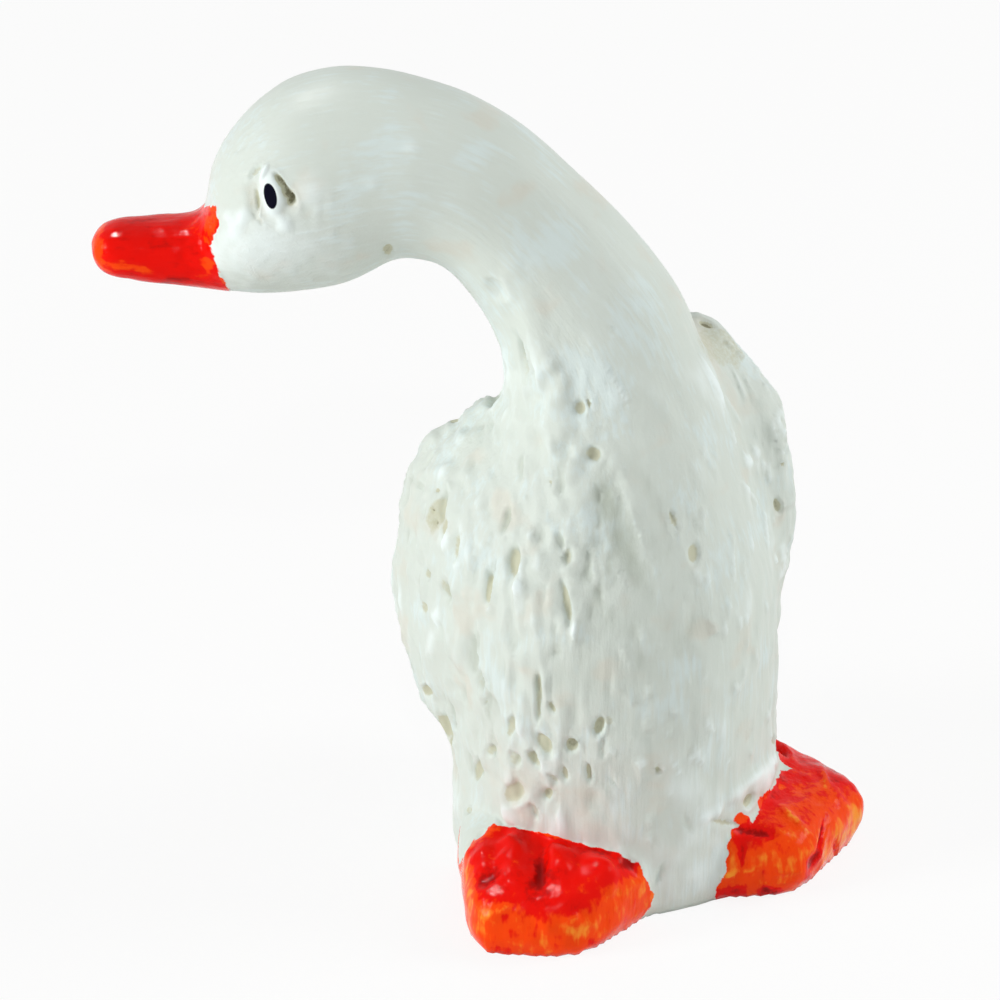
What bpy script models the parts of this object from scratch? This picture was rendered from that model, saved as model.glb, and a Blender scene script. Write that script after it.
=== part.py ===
"""Goose figurine: one solid piece of modelled clay, 57 mm tall, standing on a flat base.

The frame is in metres with +Z up, and its origin is in the flat base, on the body's upright axis. The
breast faces -Y, so the goose's right side is at -X. The neck arches over in an upright plane that is
turned to the goose's right and a little back. Body, neck and head are one form along a bent spine.
Beak, wings, tail and feet are forms of their own that run into it, and the base is cut flat at Z = 0.
Each form is a coarse cage of rings that subdivision rounds off.
"""

from math import cos, pi, radians, sin

import bmesh
import bpy
import numpy as np

MM = 0.001  # metres in a millimetre; every size below is in millimetres

# Body: a column down to the ground that hides the legs.
BODY_WIDTH = 22.4  # in the neck's plane
BODY_DEPTH = 25.2  # square to the neck's plane
NECK_FOOT_HEIGHT = 36.0  # where the body ends and the neck begins

# Neck: it leaves the body upright and arches over.
NECK_HEADING = 155.0  # degrees from +X, the way that the neck leans and the beak points
NECK_RISE = 14.3  # from the neck's foot to the middle of the arch
NECK_REACH = 14.4  # from the body's axis to the throat, level
NECK_THICKNESS = 10.9  # at its thinnest
NECK_WIDTH = 10.6

# Head: it goes on from the throat and droops a little to a blunt face.
HEAD_LENGTH = 10.3
HEAD_HEIGHT = 15.4
HEAD_WIDTH = 11.8
HEAD_DROOP = 2.8

# Beak: a flat level wedge, low on the face.
BEAK_LENGTH = 9.8  # from the head's last station
BEAK_HEIGHT = 5.6
BEAK_WIDTH = 6.0
BEAK_TIP_HEIGHT = 3.0
BEAK_TIP_WIDTH = 5.0
BEAK_DOWN_FACE = 0.61  # from the face's middle down to the beak's, as a share of its half height

# Wings: long pads that stand proud of the flanks, from the shoulder down and back.
WING_LENGTH = 27.8
WING_DROP = 2.6  # from the neck's foot down to a wing's top
WING_CHORD = 14.0
WING_THICKNESS = 5.4
WING_BACK = 3.2  # from the body's axis back to the wing's middle at the shoulder
WING_SWEEP = 5.4  # how much further back its tip lies
WING_SUNK = 0.2  # from a wing's middle out to the body's surface
LEFT_WING_RAISED = 3.4  # the left shoulder stands higher, as the neck bends to the right

# Tail: a short blunt wedge at the back.
TAIL_LENGTH = 6.0
TAIL_WIDTH = 10.0
TAIL_THICKNESS = 5.0
TAIL_HEIGHT = 9.0
TAIL_RISE = 3.0

# Feet: webbed wedges that show in front of the base, one to each side. The two differ, as they do in
# a hand-made figure. A foot's length runs from its heel, inside the body, to the edge of its toes.
FOOT_WIDTH = 13.4
FOOT_HEEL_HEIGHT = 6.8
FOOT_TOE_HEIGHT = 4.6
HEEL_SIDEWAYS = 0.53  # a heel's place, as shares of the body's half width and half depth
HEEL_FORWARDS = 0.25
RIGHT_FOOT_LENGTH = 11.7
RIGHT_FOOT_TURN = 26.0  # degrees outwards from straight ahead
LEFT_FOOT_LENGTH = 10.3
LEFT_FOOT_TURN = 41.0
FOOT_SUNK = 4.0  # how far a foot's cage runs down past the flat cut

# How finely the cages are drawn.
SPINE_AROUND = 8
SMALL_AROUND = 6
SUBDIVISIONS = 2

CLAY_COLOUR = (0.72, 0.76, 0.71, 1.0)
CLAY_ROUGHNESS = 0.35

UP = np.array([0.0, 0.0, 1.0])


def heading():
    """The level unit vector along which the neck leans."""
    angle = radians(NECK_HEADING)
    return np.array([cos(angle), sin(angle), 0.0])


def in_neck_plane(rows):
    """Turns rows of reach, height, thickness and width into rows of x, y, z, thickness and width."""
    way = heading()
    return [(reach * way[0], reach * way[1], height, thick, wide) for reach, height, thick, wide in rows]


def body_rows():
    """The stations of the body: shares of its height, width and depth."""
    shares = (
        (-0.17, 1.0, 0.95),
        (0.0, 1.0, 0.95),
        (0.17, 0.99, 0.98),
        (0.34, 0.98, 1.01),
        (0.51, 0.99, 1.02),
        (0.66, 0.93, 0.97),
        (0.80, 0.80, 0.85),
        (0.91, 0.68, 0.70),
    )
    return [
        (0.0, high * NECK_FOOT_HEIGHT, wide * BODY_WIDTH, deep * BODY_DEPTH) for high, wide, deep in shares
    ]


def neck_rows():
    """The stations of the neck: shares of its reach, rise, thickness and width."""
    shares = (
        (0.05, 0.0, 1.24, 1.34),
        (0.12, 0.20, 1.16, 1.24),
        (0.25, 0.43, 1.06, 1.11),
        (0.44, 0.68, 1.0, 1.02),
        (0.69, 0.91, 1.0, 0.98),
        (1.0, 1.02, 1.10, 1.0),
    )
    return [
        (out * NECK_REACH, NECK_FOOT_HEIGHT + up * NECK_RISE, thick * NECK_THICKNESS, wide * NECK_WIDTH)
        for out, up, thick, wide in shares
    ]


def head_rows():
    """The stations of the head: shares of its length, droop, height and width."""
    shares = (
        (0.36, 0.12, 0.97, 1.0),
        (0.66, 0.36, 1.0, 1.0),
        (0.90, 0.70, 0.85, 0.92),
        (1.08, 1.0, 0.62, 0.74),
    )
    top = NECK_FOOT_HEIGHT + NECK_RISE
    return [
        (NECK_REACH + along * HEAD_LENGTH, top - drop * HEAD_DROOP, high * HEAD_HEIGHT, wide * HEAD_WIDTH)
        for along, drop, high, wide in shares
    ]


def rings_along(rows, side, around):
    """Elliptical rings round a path.

    side is the level vector that the path bends about. Each ring is square to the path: its thickness
    runs along the vector square to both, and its width along side. A subdivided ring of few points lies
    inside its corners by a fixed share, so the corners are set out by as much.
    """
    rows = np.array(rows, float)
    middles, half_thick, half_wide = rows[:, :3], rows[:, 3] / 2, rows[:, 4] / 2
    tangent = np.gradient(middles, axis=0)
    tangent /= np.linalg.norm(tangent, axis=1)[:, None]
    lift = np.cross(side, tangent)
    lift /= np.linalg.norm(lift, axis=1)[:, None]
    across = np.cross(tangent, lift)
    set_out = 3 / (2 + cos(2 * pi / around))
    angle = np.linspace(0, 2 * pi, around, endpoint=False)
    reach_up = set_out * half_thick[:, None] * np.cos(angle)
    reach_out = set_out * half_wide[:, None] * np.sin(angle)
    return middles[:, None] + reach_up[..., None] * lift[:, None] + reach_out[..., None] * across[:, None]


def rounded_form(name, rings, collection):
    """A closed cage through the rings, with a subdivision that rounds it off."""
    mesh = bmesh.new()
    grid = [[mesh.verts.new(point * MM) for point in ring] for ring in rings]
    around = len(grid[0])
    for low, high in zip(grid, grid[1:]):
        for i in range(around):
            j = (i + 1) % around
            mesh.faces.new((low[i], low[j], high[j], high[i]))
    mesh.faces.new(grid[0])
    mesh.faces.new(grid[-1])
    bmesh.ops.recalc_face_normals(mesh, faces=mesh.faces)
    data = bpy.data.meshes.new(name)
    mesh.to_mesh(data)
    mesh.free()
    data.shade_smooth()
    made = bpy.data.objects.new(name, data)
    collection.objects.link(made)
    rounding = made.modifiers.new("rounding", "SUBSURF")
    rounding.levels = SUBDIVISIONS
    rounding.render_levels = SUBDIVISIONS
    return made


def spine_form(collection):
    """Body, neck and head in one."""
    rows = in_neck_plane(body_rows() + neck_rows() + head_rows())
    return rounded_form("goose", rings_along(rows, np.cross(UP, heading()), SPINE_AROUND), collection)


def beak_form(collection):
    """The beak, from inside the face to its round tip."""
    face_reach, face_height, face_thick, _ = head_rows()[-1]
    below = BEAK_DOWN_FACE * face_thick / 2
    shares = (  # of the length out from the face, the way from base to tip, and the climb to its middle
        (-0.40, -0.4, 0.50),
        (-0.08, -0.20, 0.0),
        (0.30, 0.20, 0.0),
        (0.66, 0.75, 0.0),
        (1.02, 1.0, 0.0),
    )
    rows = [
        (
            face_reach + out * BEAK_LENGTH,
            face_height - (1 - rise) * below,
            BEAK_HEIGHT + taper * (BEAK_TIP_HEIGHT - BEAK_HEIGHT),
            BEAK_WIDTH + taper * (BEAK_TIP_WIDTH - BEAK_WIDTH),
        )
        for out, taper, rise in shares
    ]
    rings = rings_along(in_neck_plane(rows), np.cross(UP, heading()), SMALL_AROUND)
    return rounded_form("beak", rings, collection)


def wing_form(name, sign, raised, collection):
    """A wing. sign is 1 for the goose's left, at +X, and -1 for its right."""
    shares = (  # of the length from the top down, of the body's half width, chord, thickness, sweep
        (0.0, 0.64, 0.46, 0.60, 0.15),
        (0.14, 0.86, 0.82, 0.90, 0.0),
        (0.38, 1.0, 1.04, 1.0, 0.0),
        (0.62, 0.99, 0.98, 0.92, 0.22),
        (0.84, 0.90, 0.76, 0.72, 0.63),
        (1.02, 0.76, 0.40, 0.45, 1.0),
    )
    rows = [
        (
            sign * (out * BODY_WIDTH / 2 - WING_SUNK),
            WING_BACK + swept * WING_SWEEP,
            NECK_FOOT_HEIGHT - WING_DROP + raised - down * (WING_LENGTH + raised),
            thick * WING_THICKNESS,
            chord * WING_CHORD,
        )
        for down, out, chord, thick, swept in shares
    ]
    return rounded_form(name, rings_along(rows, np.array([0.0, 1.0, 0.0]), SMALL_AROUND), collection)


def tail_form(collection):
    """The tail, which runs back and a little up."""
    shares = (  # of the length out of the body, of the rise, thickness and width
        (-1.0, -0.2, 1.2, 1.1),
        (-0.3, 0.1, 1.15, 1.05),
        (0.35, 0.5, 0.9, 0.9),
        (1.05, 1.0, 0.55, 0.65),
    )
    rows = [
        (
            0.0,
            BODY_DEPTH / 2 + out * TAIL_LENGTH,
            TAIL_HEIGHT + rise * TAIL_RISE,
            thick * TAIL_THICKNESS,
            wide * TAIL_WIDTH,
        )
        for out, rise, thick, wide in shares
    ]
    return rounded_form("tail", rings_along(rows, np.array([1.0, 0.0, 0.0]), SMALL_AROUND), collection)


def foot_form(name, sign, length, turn, collection):
    """A foot: a wedge from inside the base out to the toes. sign is as for a wing."""
    heel = np.array([sign * HEEL_SIDEWAYS * BODY_WIDTH / 2, -HEEL_FORWARDS * BODY_DEPTH / 2])
    way = length * np.array([sign * sin(radians(turn)), -cos(radians(turn))])
    shares = (  # of the way from heel to toe, of the fall from heel to toe, and of the width
        (-0.2, -0.2, 0.80),
        (0.25, 0.0, 1.0),
        (0.70, 0.5, 0.96),
        (1.08, 1.0, 0.78),
    )
    rows = []
    for along, fall, wide in shares:
        x, y = heel + along * way
        height = FOOT_HEEL_HEIGHT + fall * (FOOT_TOE_HEIGHT - FOOT_HEEL_HEIGHT)
        rows.append((x, y, (height - FOOT_SUNK) / 2, height + FOOT_SUNK, wide * FOOT_WIDTH))
    side = np.cross(UP, [*way, 0.0])
    side /= np.linalg.norm(side)
    return rounded_form(name, rings_along(rows, side, SMALL_AROUND), collection)


def ground_cutter(collection):
    """A block below Z = 0 that cuts the base flat."""
    size = 4 * NECK_FOOT_HEIGHT
    mesh = bmesh.new()
    bmesh.ops.create_cube(mesh, size=size * MM)
    bmesh.ops.translate(mesh, verts=mesh.verts, vec=(0, 0, -size / 2 * MM))
    data = bpy.data.meshes.new("ground_cutter")
    mesh.to_mesh(data)
    mesh.free()
    made = bpy.data.objects.new("ground_cutter", data)
    collection.objects.link(made)
    return made


def clay_material():
    """Painted clay: off-white, with the soft gloss of hobby paint."""
    material = bpy.data.materials.new("painted_clay")
    material.use_nodes = True
    shader = material.node_tree.nodes["Principled BSDF"]
    shader.inputs["Base Color"].default_value = CLAY_COLOUR
    shader.inputs["Roughness"].default_value = CLAY_ROUGHNESS
    shader.inputs["Metallic"].default_value = 0.0
    return material


def new_collection(name):
    """A collection under the scene's own."""
    made = bpy.data.collections.new(name)
    bpy.context.scene.collection.children.link(made)
    return made


def main():
    for old in list(bpy.data.objects):
        bpy.data.objects.remove(old)
    figurine = new_collection("goose_figurine")
    joined = new_collection("joined_forms")
    goose = spine_form(figurine)
    goose.data.materials.append(clay_material())
    forms = [
        beak_form(joined),
        wing_form("left_wing", 1, LEFT_WING_RAISED, joined),
        wing_form("right_wing", -1, 0.0, joined),
        tail_form(joined),
        foot_form("left_foot", 1, LEFT_FOOT_LENGTH, LEFT_FOOT_TURN, joined),
        foot_form("right_foot", -1, RIGHT_FOOT_LENGTH, RIGHT_FOOT_TURN, joined),
        ground_cutter(joined),
    ]
    for form in forms:
        form.hide_render = True
        form.display_type = "WIRE"
        join = goose.modifiers.new(form.name, "BOOLEAN")
        join.operation = "DIFFERENCE" if form.name == "ground_cutter" else "UNION"
        join.object = form
        join.solver = "EXACT"


main()
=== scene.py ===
"""Looks of the goose figurine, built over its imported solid.

The whole figurine is one piece of hand-modelled clay, so one visible piece stands for it. Body, neck
and head, beak, wings, tail and feet are surfaces worked out from their stations, welded together and
relaxed where the clay was smoothed by hand. The tool marks are then pressed into the skin: pits, comb
strokes, feather bumps and the eye. Fields kept on the points tell the paint where its edges lie.
All shaping is in millimetres, and the finished mesh is scaled to metres.
"""

import logging
from collections.abc import Callable
from dataclasses import dataclass, field
from enum import Enum

import bmesh
import bpy
import numpy as np
from mathutils import Matrix, Vector


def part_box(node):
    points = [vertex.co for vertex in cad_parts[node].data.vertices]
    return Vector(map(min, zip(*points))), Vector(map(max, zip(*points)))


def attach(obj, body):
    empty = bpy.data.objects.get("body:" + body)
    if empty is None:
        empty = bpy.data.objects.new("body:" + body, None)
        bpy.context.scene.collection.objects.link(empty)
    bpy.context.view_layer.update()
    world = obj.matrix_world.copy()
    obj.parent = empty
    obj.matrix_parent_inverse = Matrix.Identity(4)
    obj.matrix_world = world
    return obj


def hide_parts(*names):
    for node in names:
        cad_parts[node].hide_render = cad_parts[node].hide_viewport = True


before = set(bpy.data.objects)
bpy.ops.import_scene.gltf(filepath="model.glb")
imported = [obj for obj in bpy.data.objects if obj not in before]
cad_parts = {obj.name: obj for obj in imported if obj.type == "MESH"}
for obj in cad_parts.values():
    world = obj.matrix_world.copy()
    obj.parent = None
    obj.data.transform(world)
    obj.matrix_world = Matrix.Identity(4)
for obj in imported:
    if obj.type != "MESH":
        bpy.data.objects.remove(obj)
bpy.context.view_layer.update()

Socket = bpy.types.NodeSocket
Vector3 = tuple[float, float, float]

LOG = logging.getLogger("goose_figurine")
MM = 0.001  # metres in a millimetre
GROUND_CONTACT = 0.16  # millimetres: what lies this low is pressed flat by the table
HEAD_LOW = 38.0  # millimetres: what lies higher belongs to the head and neck
OUTSIDE = -9.0  # millimetres or shares: far from any paint or mark
UP = np.array([0.0, 0.0, 1.0])
LATTICE_PRIMES = (73856093, 19349663, 83492791)  # they spread a lattice's corners over the table
LATTICE_TABLE = 4096  # how many random values the table holds


class Field(Enum):
    """The values that the surface carries for its paint."""

    STAIN = "stain"  # 0 on clean paint, 1 in a beige pit, 2 in a dark one
    ENAMEL = "enamel"  # millimetres inside the edge of the red enamel
    ORANGE = "orange"  # 0 where the enamel is thick and red, 1 where it is thin and orange
    PUPIL = "pupil"  # millimetres inside the edge of the pupil
    RISE = "rise"  # millimetres over the smooth skin, by which the white is painted darker where it is low (painted shade) and lighter where it is high (painted highlight)
    BRUSH = "brush"  # the place along and across the spine, which the brush followed


def unit(vectors: np.ndarray) -> np.ndarray:
    """The vectors at length one."""
    vectors = np.asarray(vectors, float)
    return vectors / np.maximum(np.linalg.norm(vectors, axis=-1, keepdims=True), 1e-12)


def step_up(values: np.ndarray, low: float, high: float) -> np.ndarray:
    """A smooth step: 0 below low, 1 above high, and 3u^2 - 2u^3 of the way u between them.

    Args:
        values: Where the step is read.
        low: Where it starts.
        high: Where it ends. It may be less than low, and the step then falls.

    Returns:
        The step's height at each value.
    """
    share = np.clip((values - low) / (high - low), 0.0, 1.0)
    return share * share * (3.0 - 2.0 * share)


def signed_power(values: np.ndarray, exponent: float) -> np.ndarray:
    """Each value's size to a power, with its own sign."""
    return np.sign(values) * np.abs(values) ** exponent


@dataclass(frozen=True)
class Grain:
    """A kind of noise: the size of its cells in millimetres, and its seed."""

    size: Vector3
    seed: int

    def at(self, points: np.ndarray) -> np.ndarray:
        """The noise at each point, smooth and between -1 and 1.

        Formula: each corner of a lattice has a random value, and a point takes the values of its cell's
        eight corners, weighted along each axis by the smooth step of its place in the cell.

        Args:
            points: Places, one per row.

        Returns:
            One value for each point.
        """
        table = np.random.default_rng(self.seed).uniform(-1.0, 1.0, LATTICE_TABLE)
        scaled = points / np.array(self.size)
        cell = np.floor(scaled).astype(np.int64)
        share = step_up(scaled - cell, 0.0, 1.0)
        total = np.zeros(len(points))
        for corner in np.ndindex(2, 2, 2):
            mixed = np.bitwise_xor.reduce((cell + np.array(corner)) * LATTICE_PRIMES, axis=1)
            weight = np.prod(np.where(np.array(corner) == 1, share, 1.0 - share), axis=1)
            total += weight * table[(mixed ^ (mixed >> 13)) % LATTICE_TABLE]
        return total


@dataclass(frozen=True)
class PhotoView:
    """The camera that the photograph was taken with, and where it sees a point."""

    azimuth: float = -25.0  # degrees
    elevation: float = 25.0  # degrees
    distance: float = 350.0  # millimetres, as the aim
    aim: Vector3 = (-7.54, 2.66, 26.34)
    frame_width: float = 68.0  # what the picture spans at the aim
    pixels: int = 1000
    sensor: float = 36.0

    def axes(self) -> tuple[np.ndarray, np.ndarray, np.ndarray]:
        """The unit vectors to the picture's right, to its top and out of it to the camera."""
        turn, rise = np.radians(self.azimuth), np.radians(self.elevation)
        back = np.array([np.sin(turn) * np.cos(rise), -np.cos(turn) * np.cos(rise), np.sin(rise)])
        right = np.array([np.cos(turn), np.sin(turn), 0.0])
        return right, np.cross(back, right), back

    def project(self, points: np.ndarray) -> np.ndarray:
        """Where the picture shows the points, in pixels from its top left.

        Formula: the offset from the aim along the picture's axes, times the distance over the point's
        own depth, over the size of a pixel.

        Args:
            points: Places in millimetres, one per row.

        Returns:
            Pixel x and y, one row for each point.
        """
        right, up, back = self.axes()
        offset = points - np.array(self.aim)
        scale = self.distance / (self.distance - offset @ back) * self.pixels / self.frame_width
        middle = self.pixels / 2
        return np.stack([middle + offset @ right * scale, middle - offset @ up * scale], axis=1)

    def pixel(self) -> float:
        """The size of a pixel at the aim, in millimetres."""
        return self.frame_width / self.pixels

    def make(self) -> None:
        """Makes the camera and gives it to the scene."""
        right, up, back = self.axes()
        data = bpy.data.cameras.new("photo_camera")
        data.sensor_width = self.sensor
        data.lens = self.sensor * self.distance / self.frame_width
        data.clip_start = 0.01
        data.clip_end = 20.0
        camera = bpy.data.objects.new("photo_camera", data)
        place = (np.array(self.aim) + self.distance * back) * MM
        camera.matrix_world = Matrix(
            [[right[i], up[i], back[i], place[i]] for i in range(3)] + [[0.0, 0.0, 0.0, 1.0]]
        )
        bpy.context.scene.collection.objects.link(camera)
        bpy.context.scene.camera = camera


VIEW = PhotoView()


def curve_rows(knots: np.ndarray, rows: np.ndarray, at: np.ndarray) -> np.ndarray:
    """Rows of values read from a smooth curve.

    Formula: between two knots the cubic that has their values and the mean slopes of their neighbours.

    Args:
        knots: The curve's parameter at each given row.
        rows: The given rows.
        at: Where the curve is read.

    Returns:
        One row for each place.
    """
    slope = np.gradient(rows, knots, axis=0)
    low = np.clip(np.searchsorted(knots, at, side="right") - 1, 0, len(knots) - 2)
    span = (knots[low + 1] - knots[low])[:, None]
    u = (at[:, None] - knots[low][:, None]) / span
    return (
        (2 * u**3 - 3 * u**2 + 1) * rows[low]
        + (u**3 - 2 * u**2 + u) * span * slope[low]
        + (3 * u**2 - 2 * u**3) * rows[low + 1]
        + (u**3 - u**2) * span * slope[low + 1]
    )


@dataclass(frozen=True)
class Cap:
    """A rounded end: how far it stands out, and how blunt it is (2 is an ellipse)."""

    depth: float
    bluntness: float = 2.0

    def rows(self, last: np.ndarray, sense: float, count: int = 14) -> np.ndarray:
        """Stations that close a sweep.

        Formula: at angle t from the last station the sizes shrink by cos(t) and the middle moves out
        by depth times sin(t), both to the power of 2 over the bluntness.

        Args:
            last: The station that the cap starts from.
            sense: 1 for a cap at the far end, and -1 at the near end.
            count: How many stations it has.

        Returns:
            The stations, from the last one outwards.
        """
        angle = np.linspace(0.0, np.pi / 2, count + 1)[1:]
        out = sense * self.depth * np.sin(angle) ** (2 / self.bluntness)
        shrink = np.maximum(np.cos(angle) ** (2 / self.bluntness), 1e-3)
        rows = np.repeat(last[None], count, axis=0)
        rows[:, 0] += out * np.cos(np.radians(last[2]))
        rows[:, 1] += out * np.sin(np.radians(last[2]))
        rows[:, 3:] *= shrink[:, None]
        return rows


@dataclass
class SweptForm:
    """A rounded form carried along a path in an upright plane.

    A station is its reach along the plane's heading, its height, the path's turn there in degrees up
    from level, and the section's half sizes in the plane and across it.
    """

    heading: float  # degrees from +X
    stations: tuple[tuple[float, ...], ...]
    start: Cap | None = None
    end: Cap | None = None
    offset: Vector3 = (0.0, 0.0, 0.0)
    roundness: float = 2.0  # 2 is an ellipse, and more is squarer
    step: float = 0.4
    around: int = 96

    def axes(self) -> tuple[np.ndarray, np.ndarray]:
        """The unit vectors along the heading and across it."""
        angle = np.radians(self.heading)
        way = np.array([np.cos(angle), np.sin(angle), 0.0])
        return way, np.cross(UP, way)

    def fine_rows(self) -> np.ndarray:
        """The stations at even steps along the path, without the caps."""
        rows = np.array(self.stations, float)
        run = np.linalg.norm(np.diff(rows[:, :2], axis=0), axis=1)
        knots = np.concatenate([[0.0], np.cumsum(run)])
        return curve_rows(knots, rows, np.linspace(0.0, knots[-1], int(knots[-1] / self.step) + 2))

    def surface(self) -> np.ndarray:
        """The form's points.

        Formula: middle(u) + lift(u) a(u) cos(v) + across b(u) sin(v), where the lift is square to the
        path in its plane, and cos and sin are taken to the power of 2 over the roundness.

        Returns:
            Points by station and by angle.
        """
        rows = self.fine_rows()
        if self.start:
            rows = np.concatenate([self.start.rows(rows[0], -1.0)[::-1], rows])
        if self.end:
            rows = np.concatenate([rows, self.end.rows(rows[-1], 1.0)])
        way, across = self.axes()
        turn = np.radians(rows[:, 2:3])
        middle = rows[:, :1] * way + rows[:, 1:2] * UP + np.array(self.offset)
        lift = -np.sin(turn) * way + np.cos(turn) * UP
        angle = np.linspace(0.0, 2 * np.pi, self.around, endpoint=False)
        up_share = signed_power(np.cos(angle), 2 / self.roundness)
        out_share = signed_power(np.sin(angle), 2 / self.roundness)
        return (
            middle[:, None]
            + (rows[:, 3:4] * up_share)[..., None] * lift[:, None]
            + (rows[:, 4:5] * out_share)[..., None] * across
        )


@dataclass
class FootForm:
    """A webbed foot: a loaf with an upright rim, narrower at its toes, and cut flat below.

    The numbers along run ahead from the body's axis, and those across run to the picture's right.
    """

    turn: float  # degrees from straight ahead, to the picture's right
    heel: float
    toe: float
    heel_across: tuple[float, float]
    toe_across: tuple[float, float]
    heel_height: float
    toe_height: float = 4.5
    corner: float = 4.5  # how square the outline is
    rim: float = 5.0  # how square the side is
    undercut: float = 0.0  # how much smaller the outline is on the ground
    around: int = 160
    rings: int = 60

    def axes(self) -> tuple[np.ndarray, np.ndarray]:
        """The level unit vectors ahead and across."""
        angle = np.radians(self.turn)
        ahead = np.array([np.sin(angle), -np.cos(angle), 0.0])
        return ahead, np.cross(UP, ahead)

    def sides(self, share: np.ndarray) -> list[np.ndarray]:
        """Where the foot's two sides lie, for shares of the way from the heel to the toes."""
        return [heel + share * (toe - heel) for heel, toe in zip(self.heel_across, self.toe_across)]

    def surface(self) -> np.ndarray:
        """The foot's points.

        Formula: a square of side 2 with its corners rounded by a power, shrunk by sin(t) and raised by
        cos(t) to the power of 2 over the rim, is stretched between the heel and the toes, whose widths
        and heights are blended in proportion.

        Returns:
            Points by ring and by angle.
        """
        angle = np.linspace(0.0, 2 * np.pi, self.around, endpoint=False)
        fall = np.linspace(0.0, np.pi / 2, self.rings)[:, None]
        radius = np.sin(fall) ** (2 / self.rim)
        rise = np.maximum(np.cos(fall), 0.0) ** (2 / self.rim)
        radius = radius * (1.0 - self.undercut * (1.0 - rise) ** 2)
        share = (radius * signed_power(np.cos(angle), 2 / self.corner) + 1) / 2
        aside = radius * signed_power(np.sin(angle), 2 / self.corner)
        low, high = self.sides(share)
        ahead, across = self.axes()
        along = self.heel + share * (self.toe - self.heel)
        out = (low + high) / 2 + aside * (high - low) / 2
        height = rise * (self.heel_height + share * (self.toe_height - self.heel_height))
        return along[..., None] * ahead + out[..., None] * across + height[..., None] * UP

    def fill(self, points: np.ndarray) -> np.ndarray:
        """How far out each point lies in the foot: 0 in its middle and 1 on its skin.

        Formula: the surface's own coordinates worked back from the place, and their power mean.

        Args:
            points: Places in millimetres, one per row.

        Returns:
            One value for each point.
        """
        ahead, across = self.axes()
        share = (points @ ahead - self.heel) / (self.toe - self.heel)
        low, high = self.sides(share)
        aside = (2 * (points @ across) - low - high) / np.maximum(high - low, 1.0)
        height = np.maximum(self.heel_height + share * (self.toe_height - self.heel_height), 1.0)
        plan = np.abs(2 * share - 1) ** self.corner + np.abs(aside) ** self.corner
        rise = np.maximum(points[:, 2], 0.0) / height
        return (plan ** (self.rim / self.corner) + rise**self.rim) ** (1 / self.rim)


@dataclass(frozen=True)
class Touch:
    """One touch of a tool or a brush: an oval where the photograph shows it, on the skin that lies there."""

    x: float
    y: float
    width: float
    length: float
    lean: float = 0.0  # degrees that its top leans to the right

    def place(self, pixels: np.ndarray) -> tuple[np.ndarray, np.ndarray]:
        """How far across and down the mark each pixel lies, over its half sizes."""
        lean = np.radians(self.lean)
        dx, dy = pixels[:, 0] - self.x, pixels[:, 1] - self.y
        across = dx * np.cos(lean) + dy * np.sin(lean)
        along = dy * np.cos(lean) - dx * np.sin(lean)
        return across / (self.width / 2), along / (self.length / 2)

    def nearness(self, pixels: np.ndarray) -> np.ndarray:
        """Distance from the mark's middle over its own half size: 1 is on its rim."""
        return np.hypot(*self.place(pixels))


@dataclass(frozen=True)
class Lick(Touch):
    """A lick of the enamel brush: thin and orange above 0, and below it a dark pool, which on the feet's
    hollows is painted shade too.
    """

    thin: float = 0.5


@dataclass(frozen=True)
class Mark(Touch):
    """A tool mark, pressed into the clay."""

    depth: float = 0.3  # millimetres, and negative for a bump
    stain: float = 0.8
    edge: float = 0.55  # the share of its size over which it deepens
    lip: float = 0.3  # the height of the clay pushed up beside it, as a share of its depth

    def relief(self, pixels: np.ndarray, wander: np.ndarray) -> np.ndarray:
        """The mark's height over the skin.

        Formula: a smooth step down from the rim, deeper towards the right, and outside it a round lip,
        a bell curve of the distance from the rim. It stands highest at the right and below, where the
        tool pushed the clay.

        Args:
            pixels: Where the picture shows each point.
            wander: Noise that makes the rim uneven.

        Returns:
            Millimetres, negative below the skin.
        """
        across, along = self.place(pixels)
        near = np.hypot(across, along) * (1.0 + wander)
        bowl = step_up(near, 1.0 + self.edge / 2, 1.0 - self.edge)
        if self.depth < 0:
            return -self.depth * bowl
        pushed = np.clip((across + 0.45 * along) / np.maximum(near, 0.3), -1.0, 1.0)
        lip = np.exp(-(((near - 1.3) / 0.3) ** 2)) * np.clip(0.3 + 0.7 * pushed, 0.0, 1.0)
        skewed = bowl * (0.78 + 0.22 * np.clip(across, -1.0, 1.0))
        return -self.depth * skewed + self.lip * self.depth * lip

    @classmethod
    def clean(cls, *values: float) -> "Mark":
        """A mark that the paint covers, from its fields without the stain."""
        return cls(*values[:6], 0.0, *values[6:])


def touches(kind: Callable[..., Touch], rows: tuple[tuple[float, ...], ...]) -> tuple[Touch, ...]:
    """Marks or licks made from rows of their numbers, in the order of their fields."""
    return tuple(kind(*row) for row in rows)


MARK_GRAIN = Grain((0.7, 0.7, 0.9), 11)
MARK_WANDER = 0.22  # how much the grain moves a mark's rim
LICK_GRAIN = Grain((0.6, 0.6, 0.6), 12)
LICK_WANDER = 0.3

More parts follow.
